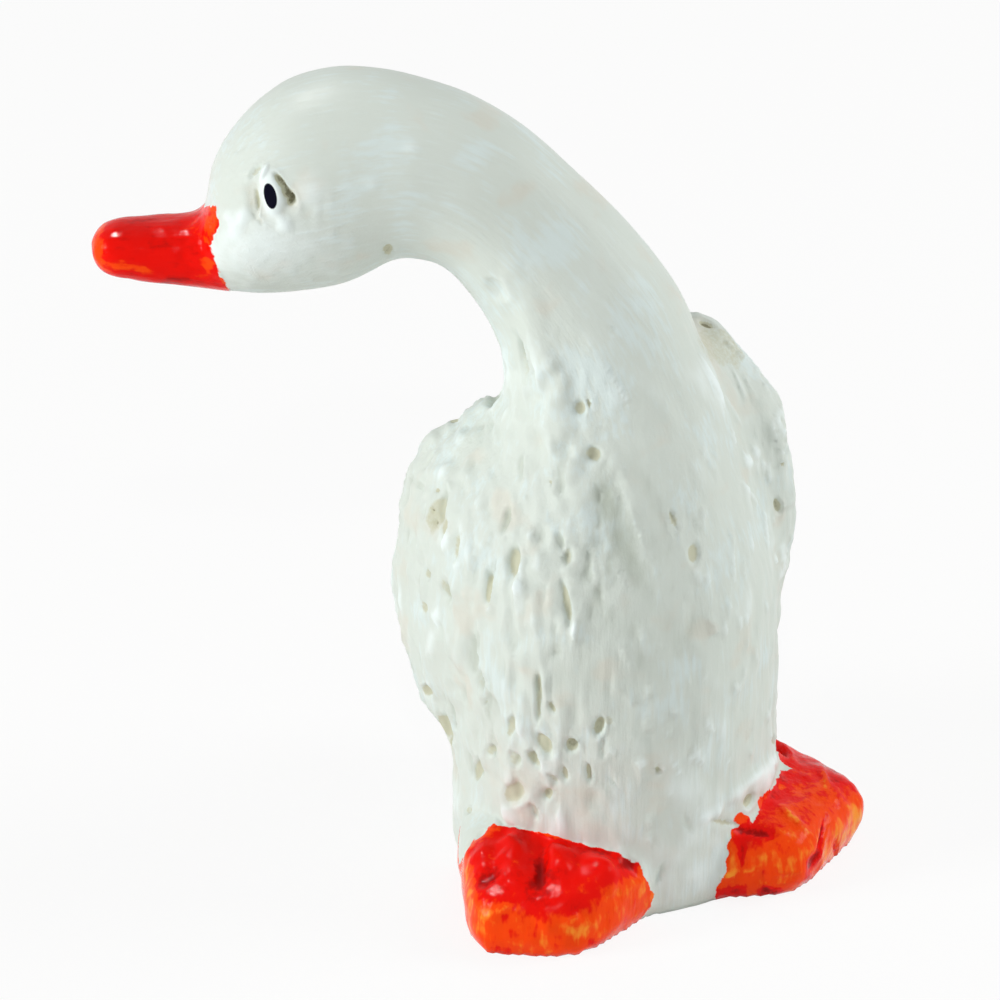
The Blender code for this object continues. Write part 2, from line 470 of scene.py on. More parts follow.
BREAST_PITS = touches(
    Mark,
    (
        (520.5, 564, 12, 34, 3, 0.5, 1.0), (493.5, 588, 9, 34, 3, 0.42, 1.1),
        (515, 521, 8, 36, 17, 0.34, 0.5), (567, 602, 9, 50, -10, 0.38, 0.9),
        (563, 541, 8, 20, -10, 0.26, 0.4), (569, 556, 9, 22, 0, 0.18, 0.7),
        (445, 515, 22, 44, 18, 0.24, 0.8, 0.8, 0.1), (441, 511, 4, 6, -30, 0.25, 1.8),
        (443, 523, 5, 6, 20, 0.25, 1.6), (444, 492, 5, 5, 0, 0.2, 1.3), (453, 527, 7, 20, 8, 0.28, 1.0),
        (465, 546, 8, 28, 8, 0.32, 0.8), (431, 573, 7, 13, 0, 0.28, 0.8), (450, 588, 9, 26, -6, 0.28, 0.7),
        (426, 607, 9, 17, 0, 0.2, 0.8), (479, 681, 8, 26, -2, 0.3, 0.5), (538, 698, 7, 50, 0, 0.36, 0.8),
        (552, 708, 7, 14, -34, 0.36, 1.1), (511, 726, 10, 25, 2, 0.34, 0.8),
        (544, 743, 12, 25, -34, 0.42, 1.0), (571, 746, 12, 14, -30, 0.5, 1.5),
        (599, 727, 10, 17, 16, 0.5, 1.4), (609, 721, 12, 10, 60, 0.08, 0.7), (603, 748, 5, 22, 0, 0.2, 0.5),
        (516, 757, 10, 17, -36, 0.3, 0.7), (535, 757, 8, 22, -38, 0.32, 0.9),
        (481, 769, 8, 24, -4, 0.36, 0.9), (554, 777, 5, 16, -40, 0.24, 0.7),
        (565, 773, 7, 18, -14, 0.3, 0.9), (589, 773, 6, 21, -6, 0.36, 1.1),
        (517, 790, 23, 23, 0, 0.34, 1.0), (548, 793, 10, 14, 10, 0.38, 1.5),
        (536, 810, 7, 18, -20, 0.28, 0.6), (491, 750, 10, 13, -20, 0.24, 0.8),
        (613, 782, 4, 16, -32, 0.16, 0.4), (658, 769, 6, 6, 0, 0.3, 1.0), (694, 553, 13, 25, 2, 0.26, 1.0),
        (673, 519, 8, 20, -20, 0.18, 0.8), (777, 505, 7, 15, -10, 0.3, 1.5), (783, 464, 4, 5, 0, 0.22, 1.6),
        (594, 454, 14, 16, -20, 0.3, 1.1), (580, 408, 13, 18, -12, 0.28, 0.9),
        (589, 405, 3, 15, -18, 0.25, 1.2), (529, 466, 6, 28, 0, 0.24, 0.4),
        (598, 496, 6, 22, -4, 0.18, 0.4, 0.8, 0.1), (600, 585, 7, 60, -6, 0.12, 0.3, 0.9, 0.0),
        (555, 482, 4, 6, 0, 0.2, 0.9), (484, 703, 4, 5, 0, 0.2, 0.8), (473, 812, 6, 10, 20, 0.2, 0.7),
        (446, 727, 15, 28, -28, 0.26, 1.2), (428, 690, 9, 14, -24, 0.24, 1.0),
        (452, 742, 5, 12, -20, 0.24, 1.2), (425, 487, 8, 14, -40, 0.2, 0.3),
        (435, 463, 6, 22, 30, 0.28, 0.4), (459, 424, 4, 12, 52, 0.24, 1.0), (478, 640, 7, 22, 2, 0.16, 0.2),
        (524, 358, 8, 46, -14, 0.4, 0.5), (495, 291, 18, 28, -42, 0.26, 0.1, 0.8),
        (388, 250, 10, 13, 0, 0.2, 1.4), (659, 873, 5, 24, 24, 0.24, 0.4), (686, 822, 18, 7, 70, 0.16, 0.4),
        (706, 323, 6, 18, -68, 0.26, 1.8), (721, 346, 46, 70, -52, 0.04, 0.66, 1.0, 0.0),
        (775, 441, 3, 20, 82, 0.26, 0.4, 0.6, 0.7), (778, 451, 3, 18, 82, 0.24, 0.3, 0.6, 0.7),
        (781, 460, 3, 14, 80, 0.22, 0.5, 0.6, 0.7), (612, 330, 6, 8, 0, 0.12, 0.3, 0.8, 0.2),
        (498, 400, 13, 26, 28, 0.45, 0.3), (780, 748, 7, 24, -45, 0.5, 1.9),
        (748, 800, 10, 16, 30, 0.36, 1.5), (722, 822, 26, 6, 10, 0.2, 0.9),
    ),
)  # fmt: skip

# Broad, shallow hollows on the breast and at the neck's foot. Through the rise they also paint shade: the
# white is painted darker over them.
HOLLOWS_AND_PAINTED_SHADE = touches(
    Mark.clean,
    (
        (628, 545, 110, 260, -6, 0.16, 1.0, 0.0), (608, 500, 52, 230, -8, 0.12, 1.0, 0.0),
        (590, 690, 80, 180, 0, 0.12, 1.0, 0.0), (640, 700, 120, 200, 0, 0.08, 1.0, 0.0),
        (580, 372, 30, 70, -14, 0.22, 1.0, 0.0), (488, 690, 80, 130, 0, 0.09, 1.0, 0.0),
    ),
)  # fmt: skip

SWELLS = touches(
    Mark.clean,
    (
        (498, 508, 190, 240, -8, -1.1, 1.0), (538, 340, 30, 130, -20, -0.4, 1.0),
        (563, 425, 34, 120, -14, -0.45, 1.0), (499, 792, 110, 120, 0, -0.45, 1.0),
    ),
)  # fmt: skip

# Ridges on the breast and flanks, and broad low swells on the right side and the skirt. Through the rise the
# white is painted lighter over all of them: painted highlights on the ridges, and painted light on the
# swells.
RIDGES_AND_PAINTED_LIGHT = touches(
    Mark.clean,
    (
        (508, 495, 9, 40, 16, -0.13), (526, 440, 12, 44, 4, -0.09), (552, 440, 16, 60, 0, -0.09),
        (541, 563, 10, 26, 10, -0.17), (537, 537, 7, 12, 0, -0.13), (574, 538, 12, 14, 30, -0.15),
        (524, 586, 14, 12, 40, -0.13), (496, 610, 12, 10, 40, -0.11), (455, 545, 8, 36, 8, -0.16),
        (477, 560, 10, 50, 4, -0.13), (509, 574, 10, 46, 0, -0.12), (457, 490, 9, 12, -10, -0.13),
        (440, 616, 8, 22, 0, -0.15), (433, 640, 10, 30, -4, -0.13), (482, 625, 10, 20, 0, -0.13),
        (535, 622, 8, 20, 0, -0.15), (575, 630, 8, 34, 0, -0.13), (509, 662, 9, 50, 0, -0.13),
        (492, 718, 9, 50, -3, -0.15), (545, 688, 8, 44, 0, -0.16), (520, 723, 7, 24, -8, -0.16),
        (458, 664, 8, 34, 0, -0.11), (462, 790, 9, 60, 0, -0.13), (638, 526, 5, 54, -22, -0.22),
        (672, 524, 5, 50, -22, -0.2), (655, 566, 4, 34, -20, -0.12), (750, 495, 4, 46, -36, -0.16),
        (618, 387, 4, 76, -33, -0.13), (711, 382, 4, 60, -25, -0.18), (733, 412, 4, 40, -30, -0.14),
        (730, 345, 5, 12, -50, -0.2), (742, 356, 5, 14, -56, -0.18), (755, 450, 10, 16, -20, -0.24, 0.8),
        (746, 461, 8, 14, -20, -0.2, 0.8), (768, 470, 6, 20, 0, -0.2, 0.8),
        (700, 470, 26, 60, -30, -0.13, 1.0), (655, 395, 20, 70, -34, -0.11, 1.0),
        (470, 405, 16, 60, 62, -0.2, 0.8), (470, 445, 22, 16, 70, -0.12, 0.8),
        (593, 402, 6, 20, -10, -0.15), (536, 352, 9, 50, -14, -0.13), (786, 562, 9, 14, 0, -0.2, 0.9),
        (778, 436, 14, 9, 80, -0.16, 0.8), (781, 450, 14, 9, 84, -0.16, 0.8),
        (782, 464, 14, 9, 88, -0.15, 0.8), (748, 420, 30, 22, -60, -0.13, 0.9),
        (757, 462, 26, 20, -60, -0.13, 0.9), (513, 815, 26, 14, 70, -0.2, 0.9),
        (566, 826, 40, 12, 76, -0.17, 0.9), (618, 842, 40, 12, 74, -0.15, 0.9),
        (766, 766, 12, 40, 50, -0.24, 0.9), (736, 792, 12, 40, 46, -0.22, 0.9),
        (760, 782, 20, 26, 30, -0.26, 0.9), (712, 812, 12, 30, 60, -0.15, 0.9),
        (760, 600, 40, 180, 0, -0.1, 1.0), (735, 430, 70, 160, -24, -0.15, 1.0),
        (735, 660, 60, 170, 0, -0.07, 1.0), (705, 790, 110, 190, 0, -0.18, 1.0),
        (660, 870, 120, 80, 0, -0.14, 1.0),
    ),
)  # fmt: skip

FOOT_MARKS = touches(
    Mark.clean,
    (
        (490, 875, 15, 40, 58, 0.46, 1.0, 0.1), (541, 866, 15, 44, 6, 0.62, 1.0, 0.1),
        (538, 888, 34, 28, 0, 0.22, 1.0, 0.1), (512, 862, 26, 50, 8, -0.58, 0.9),
        (509, 846, 20, 12, 0, -0.3, 0.9), (560, 864, 26, 36, 24, -0.62, 0.9),
        (553, 856, 20, 18, 20, -0.3, 0.9), (481, 857, 22, 24, 30, -0.24, 0.9),
        (598, 873, 24, 44, -50, -0.55, 0.9), (603, 870, 16, 30, -55, -0.28, 0.9),
        (629, 868, 18, 22, -30, 0.45, 0.9, 0.1), (570, 884, 16, 22, 0, 0.16, 0.9, 0.1),
        (582, 912, 20, 16, 60, 0.3, 0.9), (497, 914, 8, 26, 62, -0.22, 0.9),
        (572, 920, 8, 22, 60, -0.2, 0.9), (548, 925, 16, 20, 0, -0.2, 0.9),
        (500, 932, 4, 14, -40, 0.16, 0.9), (752, 832, 42, 9, 10, 0.36, 0.9),
        (794, 822, 5, 42, -46, -0.26, 0.9), (825, 778, 5, 30, -16, -0.24, 0.9),
        (820, 838, 6, 42, 14, 0.42, 0.9, 0.2), (811, 864, 14, 22, 20, 0.36, 0.9, 0.2),
        (836, 848, 4, 22, 0, 0.24, 0.9), (742, 856, 5, 30, 0, 0.2, 0.9), (764, 852, 6, 36, 0, -0.14, 0.9),
        (728, 874, 16, 6, -8, -0.22, 0.9), (748, 871, 10, 5, -20, -0.2, 0.9),
        (788, 872, 40, 6, -10, -0.18, 0.9), (764, 884, 44, 8, 85, 0.3, 0.9),
        (790, 790, 44, 26, -20, 0.16, 0.9, 0.1),
    ),
)  # fmt: skip

# Licks below 0 on the feet's hollows paint the red darker there: pooled enamel and painted shade.
FOOT_LICKS = touches(
    Lick,
    (
        (470, 880, 12, 62, 0, 0.8), (483, 838, 40, 14, -30, 0.55), (490, 875, 11, 36, 58, -0.55),
        (541, 866, 15, 36, 6, -0.5), (538, 888, 34, 34, 0, -0.5), (629, 869, 20, 26, -30, -1.0),
        (612, 857, 62, 12, 14, -0.45), (488, 916, 36, 24, -20, 0.55), (495, 912, 28, 7, -25, 0.9),
        (532, 932, 50, 16, 0, -0.35), (572, 908, 34, 16, -10, -0.55), (580, 930, 30, 14, 20, 0.6),
        (592, 941, 12, 10, 0, -0.7), (586, 891, 20, 10, 0, 0.4), (632, 894, 26, 40, 30, 0.5),
        (572, 919, 14, 5, -20, 1.1), (808, 832, 116, 72, -14, 0.7), (836, 774, 70, 18, 26, -0.25),
        (775, 787, 38, 28, -20, -0.6), (812, 796, 50, 30, 24, 0.3), (752, 832, 42, 9, 10, -1.4),
        (853, 824, 18, 54, 16, 0.8), (742, 857, 5, 30, 0, -1.0), (757, 857, 14, 28, 0, 0.35),
        (733, 852, 9, 30, 0, 0.25), (820, 838, 6, 40, 14, -2.2), (812, 861, 12, 18, 20, -2.0),
        (806, 880, 7, 24, 15, -1.7), (836, 850, 4, 20, 0, -1.6), (731, 893, 36, 17, -6, -1.2),
        (768, 894, 34, 14, 0, -1.6), (794, 822, 4, 38, -46, 1.1), (825, 779, 4, 26, -16, 1.2),
        (731, 873, 15, 6, -8, 1.5), (748, 870, 9, 5, -20, 1.4), (781, 788, 7, 6, 0, 2.0),
    ),
)  # fmt: skip

BEAK_LICKS = touches(
    Lick,
    (
        (99, 246, 15, 46, 0, 0.9), (132, 267, 64, 9, 10, 0.8), (190, 281, 80, 8, 5, -0.5),
        (212, 220, 15, 46, 0, 1.0), (207, 262, 24, 16, 0, 0.9), (226, 283, 7, 26, -33, 0.8),
        (160, 216, 110, 9, -3, -1.1), (152, 243, 76, 24, 0, -0.12),
    ),
)  # fmt: skip

# The eye's almond and grooves, and low bumps round the eye and on the cheek. Through the rise the bumps paint
# the white lighter: painted highlights.
EYE_MARKS_AND_PAINTED_HIGHLIGHTS = touches(
    Mark,
    (
        (272, 193, 24, 52, -12, -0.32, 0.0, 0.6), (281, 182, 6, 22, -36, 0.46, 1.7, 0.6, 0.1),
        (289, 195, 10, 24, -36, 0.42, 1.8, 0.6, 0.1), (291, 200, 16, 10, -76, 0.36, 1.8, 0.6, 0.1),
        (255.5, 171, 6, 18, 42, 0.26, 0.7), (257, 201, 5, 26, -6, 0.3, 0.9),
        (252, 198, 15, 40, -10, 0.2, 0.45, 1.0, 0.1), (265, 172, 5, 18, 22, -0.16, 0.0),
        (242, 147, 4, 16, 52, 0.12, 0.4), (285, 223, 18, 18, 0, -0.16, 0.0, 1.0),
        (312, 192, 34, 40, -10, -0.17, 0.0, 1.0), (246, 214, 15, 20, 0, -0.15, 0.0, 1.0),
        (264, 248, 140, 76, 0, -0.22, 0.0, 1.0), (236, 226, 22, 28, 0, -0.12, 0.0, 1.0),
        (372, 183, 18, 14, 0, -0.08, 0.0, 1.0), (410, 148, 16, 16, 0, -0.09, 0.0, 1.0),
        (258, 218, 5, 18, -40, 0.14, 0.2),
    ),
)  # fmt: skip

PUPIL = Mark(271.7, 195.3, 12.6, 25.5, -12, -0.12, 0.0, 1.0)


@dataclass(frozen=True)
class EnamelPatch:
    """A patch of red enamel: its ragged edge, where the photograph shows it, and a far outline."""

    edge: tuple[tuple[float, float], ...]
    outside: tuple[tuple[float, float], ...]

    def inside(self, pixels: np.ndarray) -> np.ndarray:
        """How far inside the patch each pixel lies.

        Formula: the distance to the nearest stretch of the edge. The sign comes from how often a ray
        to the right crosses the closed outline.

        Args:
            pixels: Where the picture shows each point.

        Returns:
            Pixels from the edge, negative outside.
        """
        line = np.array(self.edge)
        nearest = np.full(len(pixels), 1e9)
        for first, last in zip(line[:-1], line[1:]):
            along = last - first
            share = np.clip((pixels - first) @ along / (along @ along), 0.0, 1.0)
            nearest = np.minimum(nearest, np.linalg.norm(pixels - first - share[:, None] * along, axis=1))
        loop = np.concatenate([line, np.array(self.outside)])
        within = np.zeros(len(pixels), bool)
        for first, last in zip(loop, np.roll(loop, -1, axis=0)):
            spans = (first[1] > pixels[:, 1]) != (last[1] > pixels[:, 1])
            rise = last[1] - first[1] if last[1] != first[1] else 1.0
            at = first[0] + (pixels[:, 1] - first[1]) * (last[0] - first[0]) / rise
            within ^= spans & (pixels[:, 0] < at)
        return np.where(within, nearest, -nearest)


BEAK_PATCH = EnamelPatch(
    ((180, 205), (206, 206), (217, 205), (219, 225), (213, 245), (217, 262), (230, 290), (240, 310)),
    ((60, 330), (60, 205)),
)
BEAK_TOP = 204.5  # the pixel row that the beak's enamel never climbs over
BODY_HALF = (11.3, 11.9)  # millimetres along and across the neck's way: the body's oval by the ground
BODY_REACH = 11.5  # millimetres that the body's oval is worth, counted from its middle to its rim
FOOT_REACH = 5.0  # the same for a foot
FOOT_TOPS = (4.6, 6.5)  # millimetres: where the enamel ends behind the right and the left foot
TOP_FALL = 4.0  # millimetres by which the enamel's edge is pulled down over a top
RIGHT_FOOT_PATCH = EnamelPatch(
    (
        (446, 880), (466, 857), (474, 843), (495, 829), (522, 830), (551, 832), (578, 843), (613, 851),
        (638, 863), (641, 876), (652, 892), (650, 905), (642, 918), (650, 950),
    ),
    ((650, 1000), (440, 1000)),
)  # fmt: skip
LEFT_FOOT_PATCH = EnamelPatch(
    (
        (812, 735), (797, 752), (794, 768), (780, 771), (771, 790), (763, 789), (757, 801), (757, 815),
        (752, 824), (746, 815), (739, 810), (732, 820), (738, 826), (730, 831), (728, 848), (725, 870),
        (722, 878), (716, 888), (713, 905), (706, 925),
    ),
    ((706, 960), (900, 960), (900, 735)),
)  # fmt: skip


@dataclass
class Skin:
    """The figurine's skin while it is being worked: its points, edges and normals in millimetres."""

    points: np.ndarray
    edges: np.ndarray
    normals: np.ndarray

    @classmethod
    def read(cls, mesh: bpy.types.Mesh) -> "Skin":
        """Reads a mesh in millimetres."""
        points = np.empty(len(mesh.vertices) * 3, np.float32)
        normals = np.empty(len(mesh.vertices) * 3, np.float32)
        edges = np.empty(len(mesh.edges) * 2, np.int32)
        mesh.vertices.foreach_get("co", points)
        mesh.vertices.foreach_get("normal", normals)
        mesh.edges.foreach_get("vertices", edges)
        points, normals = (flat.reshape(-1, 3).astype(float) for flat in (points, normals))
        return cls(points, edges.reshape(-1, 2), normals)

    def neighbour_mean(self, values: np.ndarray) -> np.ndarray:
        """The mean of each point's neighbours, for values with one row per point."""
        count = len(self.points)
        first, second = self.edges[:, 0], self.edges[:, 1]
        degree = np.maximum(np.bincount(self.edges.ravel(), minlength=count), 1)
        columns = [
            np.bincount(first, values[second, k], count) + np.bincount(second, values[first, k], count)
            for k in range(values.shape[1])
        ]
        return np.stack(columns, axis=1) / degree[:, None]

    def relax(self, share: np.ndarray, rounds: int, fill: bool = False) -> None:
        """Moves each point towards the mean of its neighbours, by its own share, some rounds over.

        Args:
            share: How much of the way each point moves.
            rounds: How often.
            fill: Whether only hollows move, outwards, so that a crease fills and an edge stays.
        """
        low = self.points[:, 2] < GROUND_CONTACT
        for _ in range(rounds):
            move = share[:, None] * (self.neighbour_mean(self.points) - self.points)
            move[low, 2] = 0.0
            if fill:
                move *= (np.sum(move * self.normals, axis=1) > 0.0)[:, None]
            self.points += move

    def write(self, mesh: bpy.types.Mesh, scale: float = 1.0) -> None:
        """Puts the points back into their mesh."""
        mesh.vertices.foreach_set("co", (self.points * scale).astype(np.float32).ravel())
        mesh.update()


@dataclass(frozen=True)
class Zone:
    """A stretch of the skin, bounded by smooth ramps, and how long a finger smoothed it.

    A ramp names what it is read along, where it starts and where it is full, in millimetres: x, y, z,
    the reach along the neck's heading, the distance aside from X = 0 or out from the upright axis.
    """

    ramps: tuple[tuple[str, float, float], ...]
    rounds: int = 0
    strength: float = 0.5  # how much of the way to its neighbours a point moves each round

    def share(self, points: np.ndarray) -> np.ndarray:
        """How much each point belongs to the zone: the product of its ramps."""
        x, y, z = points.T
        along = {"x": x, "y": y, "z": z, "aside": np.abs(x), "out": np.hypot(x, y)}
        along["reach"] = points @ NECK_WAY
        return np.prod([step_up(along[name], start, full) for name, start, full in self.ramps], axis=0)

    def smooth(self, skin: Skin, share: np.ndarray | None = None, fill: bool = False) -> None:
        """Relaxes the skin where the zone is, or by a share of it that was worked out before."""
        share = self.share(skin.points) if share is None else share
        skin.relax(self.strength * share, self.rounds, fill)


NECK_HEADING = 155.0  # degrees from +X to where the neck arches and the beak points
NECK_WAY = np.array([np.cos(np.radians(NECK_HEADING)), np.sin(np.radians(NECK_HEADING)), 0.0])

BREAST_FLANK = Zone((("x", 4.0, -3.0), ("y", 7.0, 2.0), ("z", 6.0, 9.0), ("z", 33.0, 28.0)), rounds=220)
LEFT_FLANK = Zone((("x", 2.0, 6.0), ("y", 9.0, 6.0), ("z", 8.0, 12.0), ("z", 38.0, 36.0)), rounds=320)
GROUND_RIM = Zone((("z", 1.3, 0.4),), rounds=30)
BEAK_ROOT = Zone((("z", 38.0, 41.0), ("reach", 24.0, 25.5)), rounds=24)
FOREHEAD = Zone((("z", 47.0, 50.0), ("reach", 18.0, 21.0)), rounds=30)
COMBED = Zone((("z", 42.0, 31.0), ("z", 4.0, 7.0)))
STROKED = Zone((("z", 42.0, 34.0),))
WINGS = Zone((("aside", 8.5, 11.5), ("z", 36.0, 33.0), ("z", 7.0, 10.0)))
LEFT_WING = Zone((("x", 8.5, 10.5),))
FEET = Zone((("z", 8.0, 6.0), ("out", 12.0, 13.5)))
HEAD = Zone((("z", 38.0, 42.0),))
BEAK = Zone((("z", 38.0, 42.0), ("reach", 27.5, 28.5)))


def welded_mesh(name: str, grids: list[np.ndarray]) -> bpy.types.Mesh:
    """One mesh of closed tubes, one for each grid of points.

    Formula: each cell of a grid is a face, the last column meets the first, and a flat face closes
    each end.

    Args:
        name: The mesh's name.
        grids: Points by ring and by angle.

    Returns:
        The mesh, its tubes still apart.
    """
    points, faces, first = [], [], 0
    for grid in grids:
        rings, around = grid.shape[:2]
        index = first + np.arange(rings * around).reshape(rings, around)
        turned = np.roll(index, -1, axis=1)
        cells = np.stack([index[:-1], turned[:-1], turned[1:], index[1:]], axis=-1).reshape(-1, 4)
        points.append(grid.reshape(-1, 3))
        faces += cells.tolist() + [index[0][::-1].tolist(), index[-1].tolist()]
        first += rings * around
    mesh = bpy.data.meshes.new(name)
    mesh.from_pydata(np.concatenate(points).tolist(), [], faces)
    mesh.update()
    return mesh


@dataclass
class GooseForms:
    """The clay before its tool marks: every form, and where each one is."""

    heading: float = NECK_HEADING
    spine: SweptForm = field(init=False)
    right_foot: FootForm = field(init=False)
    left_foot: FootForm = field(init=False)

    def __post_init__(self) -> None:
        """Sets the stations, read from the photograph's outline."""
        self.spine = SweptForm(
            self.heading,
            (
                (0.0, 0.0, 90, 11.3, 11.8),
                (0.0, 5.0, 90, 11.2, 11.9),
                (0.0, 11.0, 90, 11.1, 12.2),
                (0.0, 18.0, 90, 11.1, 12.4),
                (0.0, 22.5, 90, 10.4, 12.0),
                (0.05, 28.0, 90, 9.0, 10.6),
                (0.3, 32.5, 87, 7.8, 8.8),
                (0.9, 36.0, 78, 6.80, 7.3),
                (1.7, 38.8, 70, 6.37, 6.6),
                (3.6, 42.1, 57, 5.81, 5.9),
                (6.3, 45.5, 42, 5.43, 5.4),
                (9.9, 48.8, 26, 5.51, 5.2),
                (12.0, 49.75, 16, 5.85, 5.2),
                (14.0, 50.25, 8, 6.15, 5.4),
                (16.0, 50.15, 3, 6.84, 5.5),
                (18.0, 49.8, 0, 7.35, 5.7),
                (20.0, 49.45, 0, 7.48, 5.8),
                (22.0, 49.0, 0, 7.3, 5.7),
                (23.0, 48.6, 0, 7.0, 5.5),
                (24.0, 48.2, 0, 6.6, 5.3),
                (25.0, 47.7, 0, 6.1, 4.95),
                (25.6, 47.4, 0, 5.73, 4.7),
                (26.2, 46.95, 0, 5.3, 4.3),
                (26.7, 46.45, 0, 4.9, 3.85),
            ),
            end=Cap(0.75),
        )
        self.right_foot = FootForm(
            turn=-31.0,
            heel=4.0,
            toe=17.8,
            heel_across=(-10.6, 8.2),
            toe_across=(-8.4, -0.4),
            heel_height=6.9,
            corner=5.6,
        )
        self.left_foot = FootForm(
            turn=35.0,
            heel=3.0,
            toe=15.7,
            heel_across=(-9.5, 12.0),
            toe_across=(-2.0, 9.7),
            heel_height=6.6,
            corner=7.0,
            undercut=0.08,
        )

    def beak(self) -> SweptForm:
        """The beak: a level wedge with a round tip, rooted inside the face."""
        stations = (
            (22.0, 45.0, -2, 2.9, 3.4),
            (25.0, 44.55, -2, 2.65, 3.2),
            (27.5, 44.4, -1, 2.45, 3.0),
            (30.5, 44.45, 0, 2.15, 2.8),
            (33.4, 44.55, 0, 1.95, 2.6),
        )
        return SweptForm(self.heading, stations, Cap(1.0), Cap(1.9, 2.3), roundness=2.2)

    def wings(self) -> list[SweptForm]:
        """The wings: pads along the flanks, the goose's right one flowing into the breast."""
        right = (
            (6.4, 31.0, -70, 2.4, 3.4),
            (8.4, 28.6, -78, 3.2, 5.6),
            (10.2, 23.0, -88, 3.3, 6.8),
            (10.6, 17.0, -93, 3.1, 6.6),
            (9.9, 11.5, -98, 2.6, 5.0),
        )
        left = (
            (7.9, 35.3, -70, 2.1, 3.4),
            (10.1, 31.4, -80, 2.6, 5.6),
            (11.2, 25.0, -88, 2.5, 6.8),
            (10.6, 18.5, -95, 2.2, 6.6),
            (8.4, 12.5, -104, 2.0, 5.0),
        )
        caps = {"start": Cap(2.0), "end": Cap(3.5)}
        return [
            SweptForm(180.0, right, offset=(0.0, 3.6, 0.0), **caps),
            SweptForm(0.0, left, offset=(-0.5, 2.6, 0.0), **caps),
        ]

    def breast(self) -> SweptForm:
        """The swell that carries the breast over into the goose's right wing."""
        stations = (
            (-4.6, 9.0, 90, 7.0, 7.5),
            (-4.6, 14.0, 90, 8.0, 9.0),
            (-4.4, 20.0, 90, 8.2, 9.6),
            (-3.6, 26.0, 90, 7.2, 8.6),
            (-2.4, 31.0, 90, 5.2, 6.4),
        )
        return SweptForm(0.0, stations, Cap(5.0), Cap(5.0), offset=(0.0, -1.6, 0.0))

    def tail(self) -> SweptForm:
        """The tail: a short blunt wedge, back and a little up."""
        stations = (
            (6.0, 8.6, 4, 3.0, 6.2),
            (11.0, 9.4, 12, 2.8, 5.6),
            (14.5, 10.4, 16, 2.2, 4.6),
            (16.4, 11.0, 18, 1.6, 3.6),
        )
        return SweptForm(90.0, stations, Cap(1.0), Cap(1.6), roundness=2.2)

    def grids(self) -> list[np.ndarray]:
        """The surface of every form, standing on Z = 0."""
        swept = [self.spine, self.beak(), self.breast(), self.tail(), *self.wings()]
        return [form.surface() for form in [*swept, self.right_foot, self.left_foot]]

    def straightened(self, points: np.ndarray) -> np.ndarray:
        """Each point's place along and across the spine, as if the neck were straight.

        Formula: the nearest of the spine's stations gives the run of the path up to it, and the offset
        from it is read along the path, the lift and the side.

        Args:
            points: Places in millimetres, one per row.

        Returns:
            The offset in the neck's plane, the offset across it, and the run from the ground.
        """
        rows = self.spine.fine_rows()
        way, across = self.spine.axes()
        level, height = points @ way, points[:, 2]
        apart = (level[:, None] - rows[:, 0]) ** 2 + (height[:, None] - rows[:, 1]) ** 2
        near = np.argmin(apart, axis=1)
        run = np.concatenate([[0.0], np.cumsum(np.linalg.norm(np.diff(rows[:, :2], axis=0), axis=1))])
        turn = np.radians(rows[near, 2])
        ahead, rise = level - rows[near, 0], height - rows[near, 1]
        lifted = rise * np.cos(turn) - ahead * np.sin(turn)
        along = run[near] + ahead * np.cos(turn) + rise * np.sin(turn)
        return np.stack([lifted, points @ across, along], axis=1)


@dataclass(frozen=True)
class ScatteredPits:
    """Pits on the flanks and back, like those of the breast. Ranges hold the least and the most."""

    seed: int = 5
    count: int = 90
    turned_away: float = -0.05  # the photograph doesn't show the skin that faces it less than this
    heights: tuple[float, float] = (6.0, 33.0)
    half_width: tuple[float, float] = (0.25, 0.5)
    half_length: tuple[float, float] = (0.5, 1.3)
    reach: float = 1.2  # how far through the clay a pit is felt
    depth: tuple[float, float] = (0.15, 0.4)
    stain: tuple[float, float] = (0.5, 1.2)

    def press(self, skin: Skin) -> tuple[np.ndarray, np.ndarray]:
        """Works out the pits.

        Formula: about each chosen point, the distance across and up the skin over the pit's half
        sizes, and a smooth step down inside it.

        Args:
            skin: The skin.

        Returns:
            The relief in millimetres and the stain.
        """
        random = np.random.default_rng(self.seed)
        facing = skin.normals @ VIEW.axes()[2]
        heights = skin.points[:, 2]
        low, high = self.heights
        free = np.flatnonzero((facing < self.turned_away) & (heights > low) & (heights < high))
        relief, stain = np.zeros(len(skin.points)), np.zeros(len(skin.points))
        for start in random.choice(free, self.count, replace=False):
            normal = skin.normals[start]
            side = unit(np.cross(UP, normal))
            offset = skin.points - skin.points[start]
            half_width, half_length = random.uniform(*self.half_width), random.uniform(*self.half_length)
            near = np.hypot(offset @ side / half_width, offset @ np.cross(normal, side) / half_length)
            near = np.hypot(near, offset @ normal / self.reach)
            relief -= random.uniform(*self.depth) * step_up(near, 1.2, 0.4)
            stain = np.maximum(stain, random.uniform(*self.stain) * step_up(near, 1.1, 0.6))
        return relief, stain


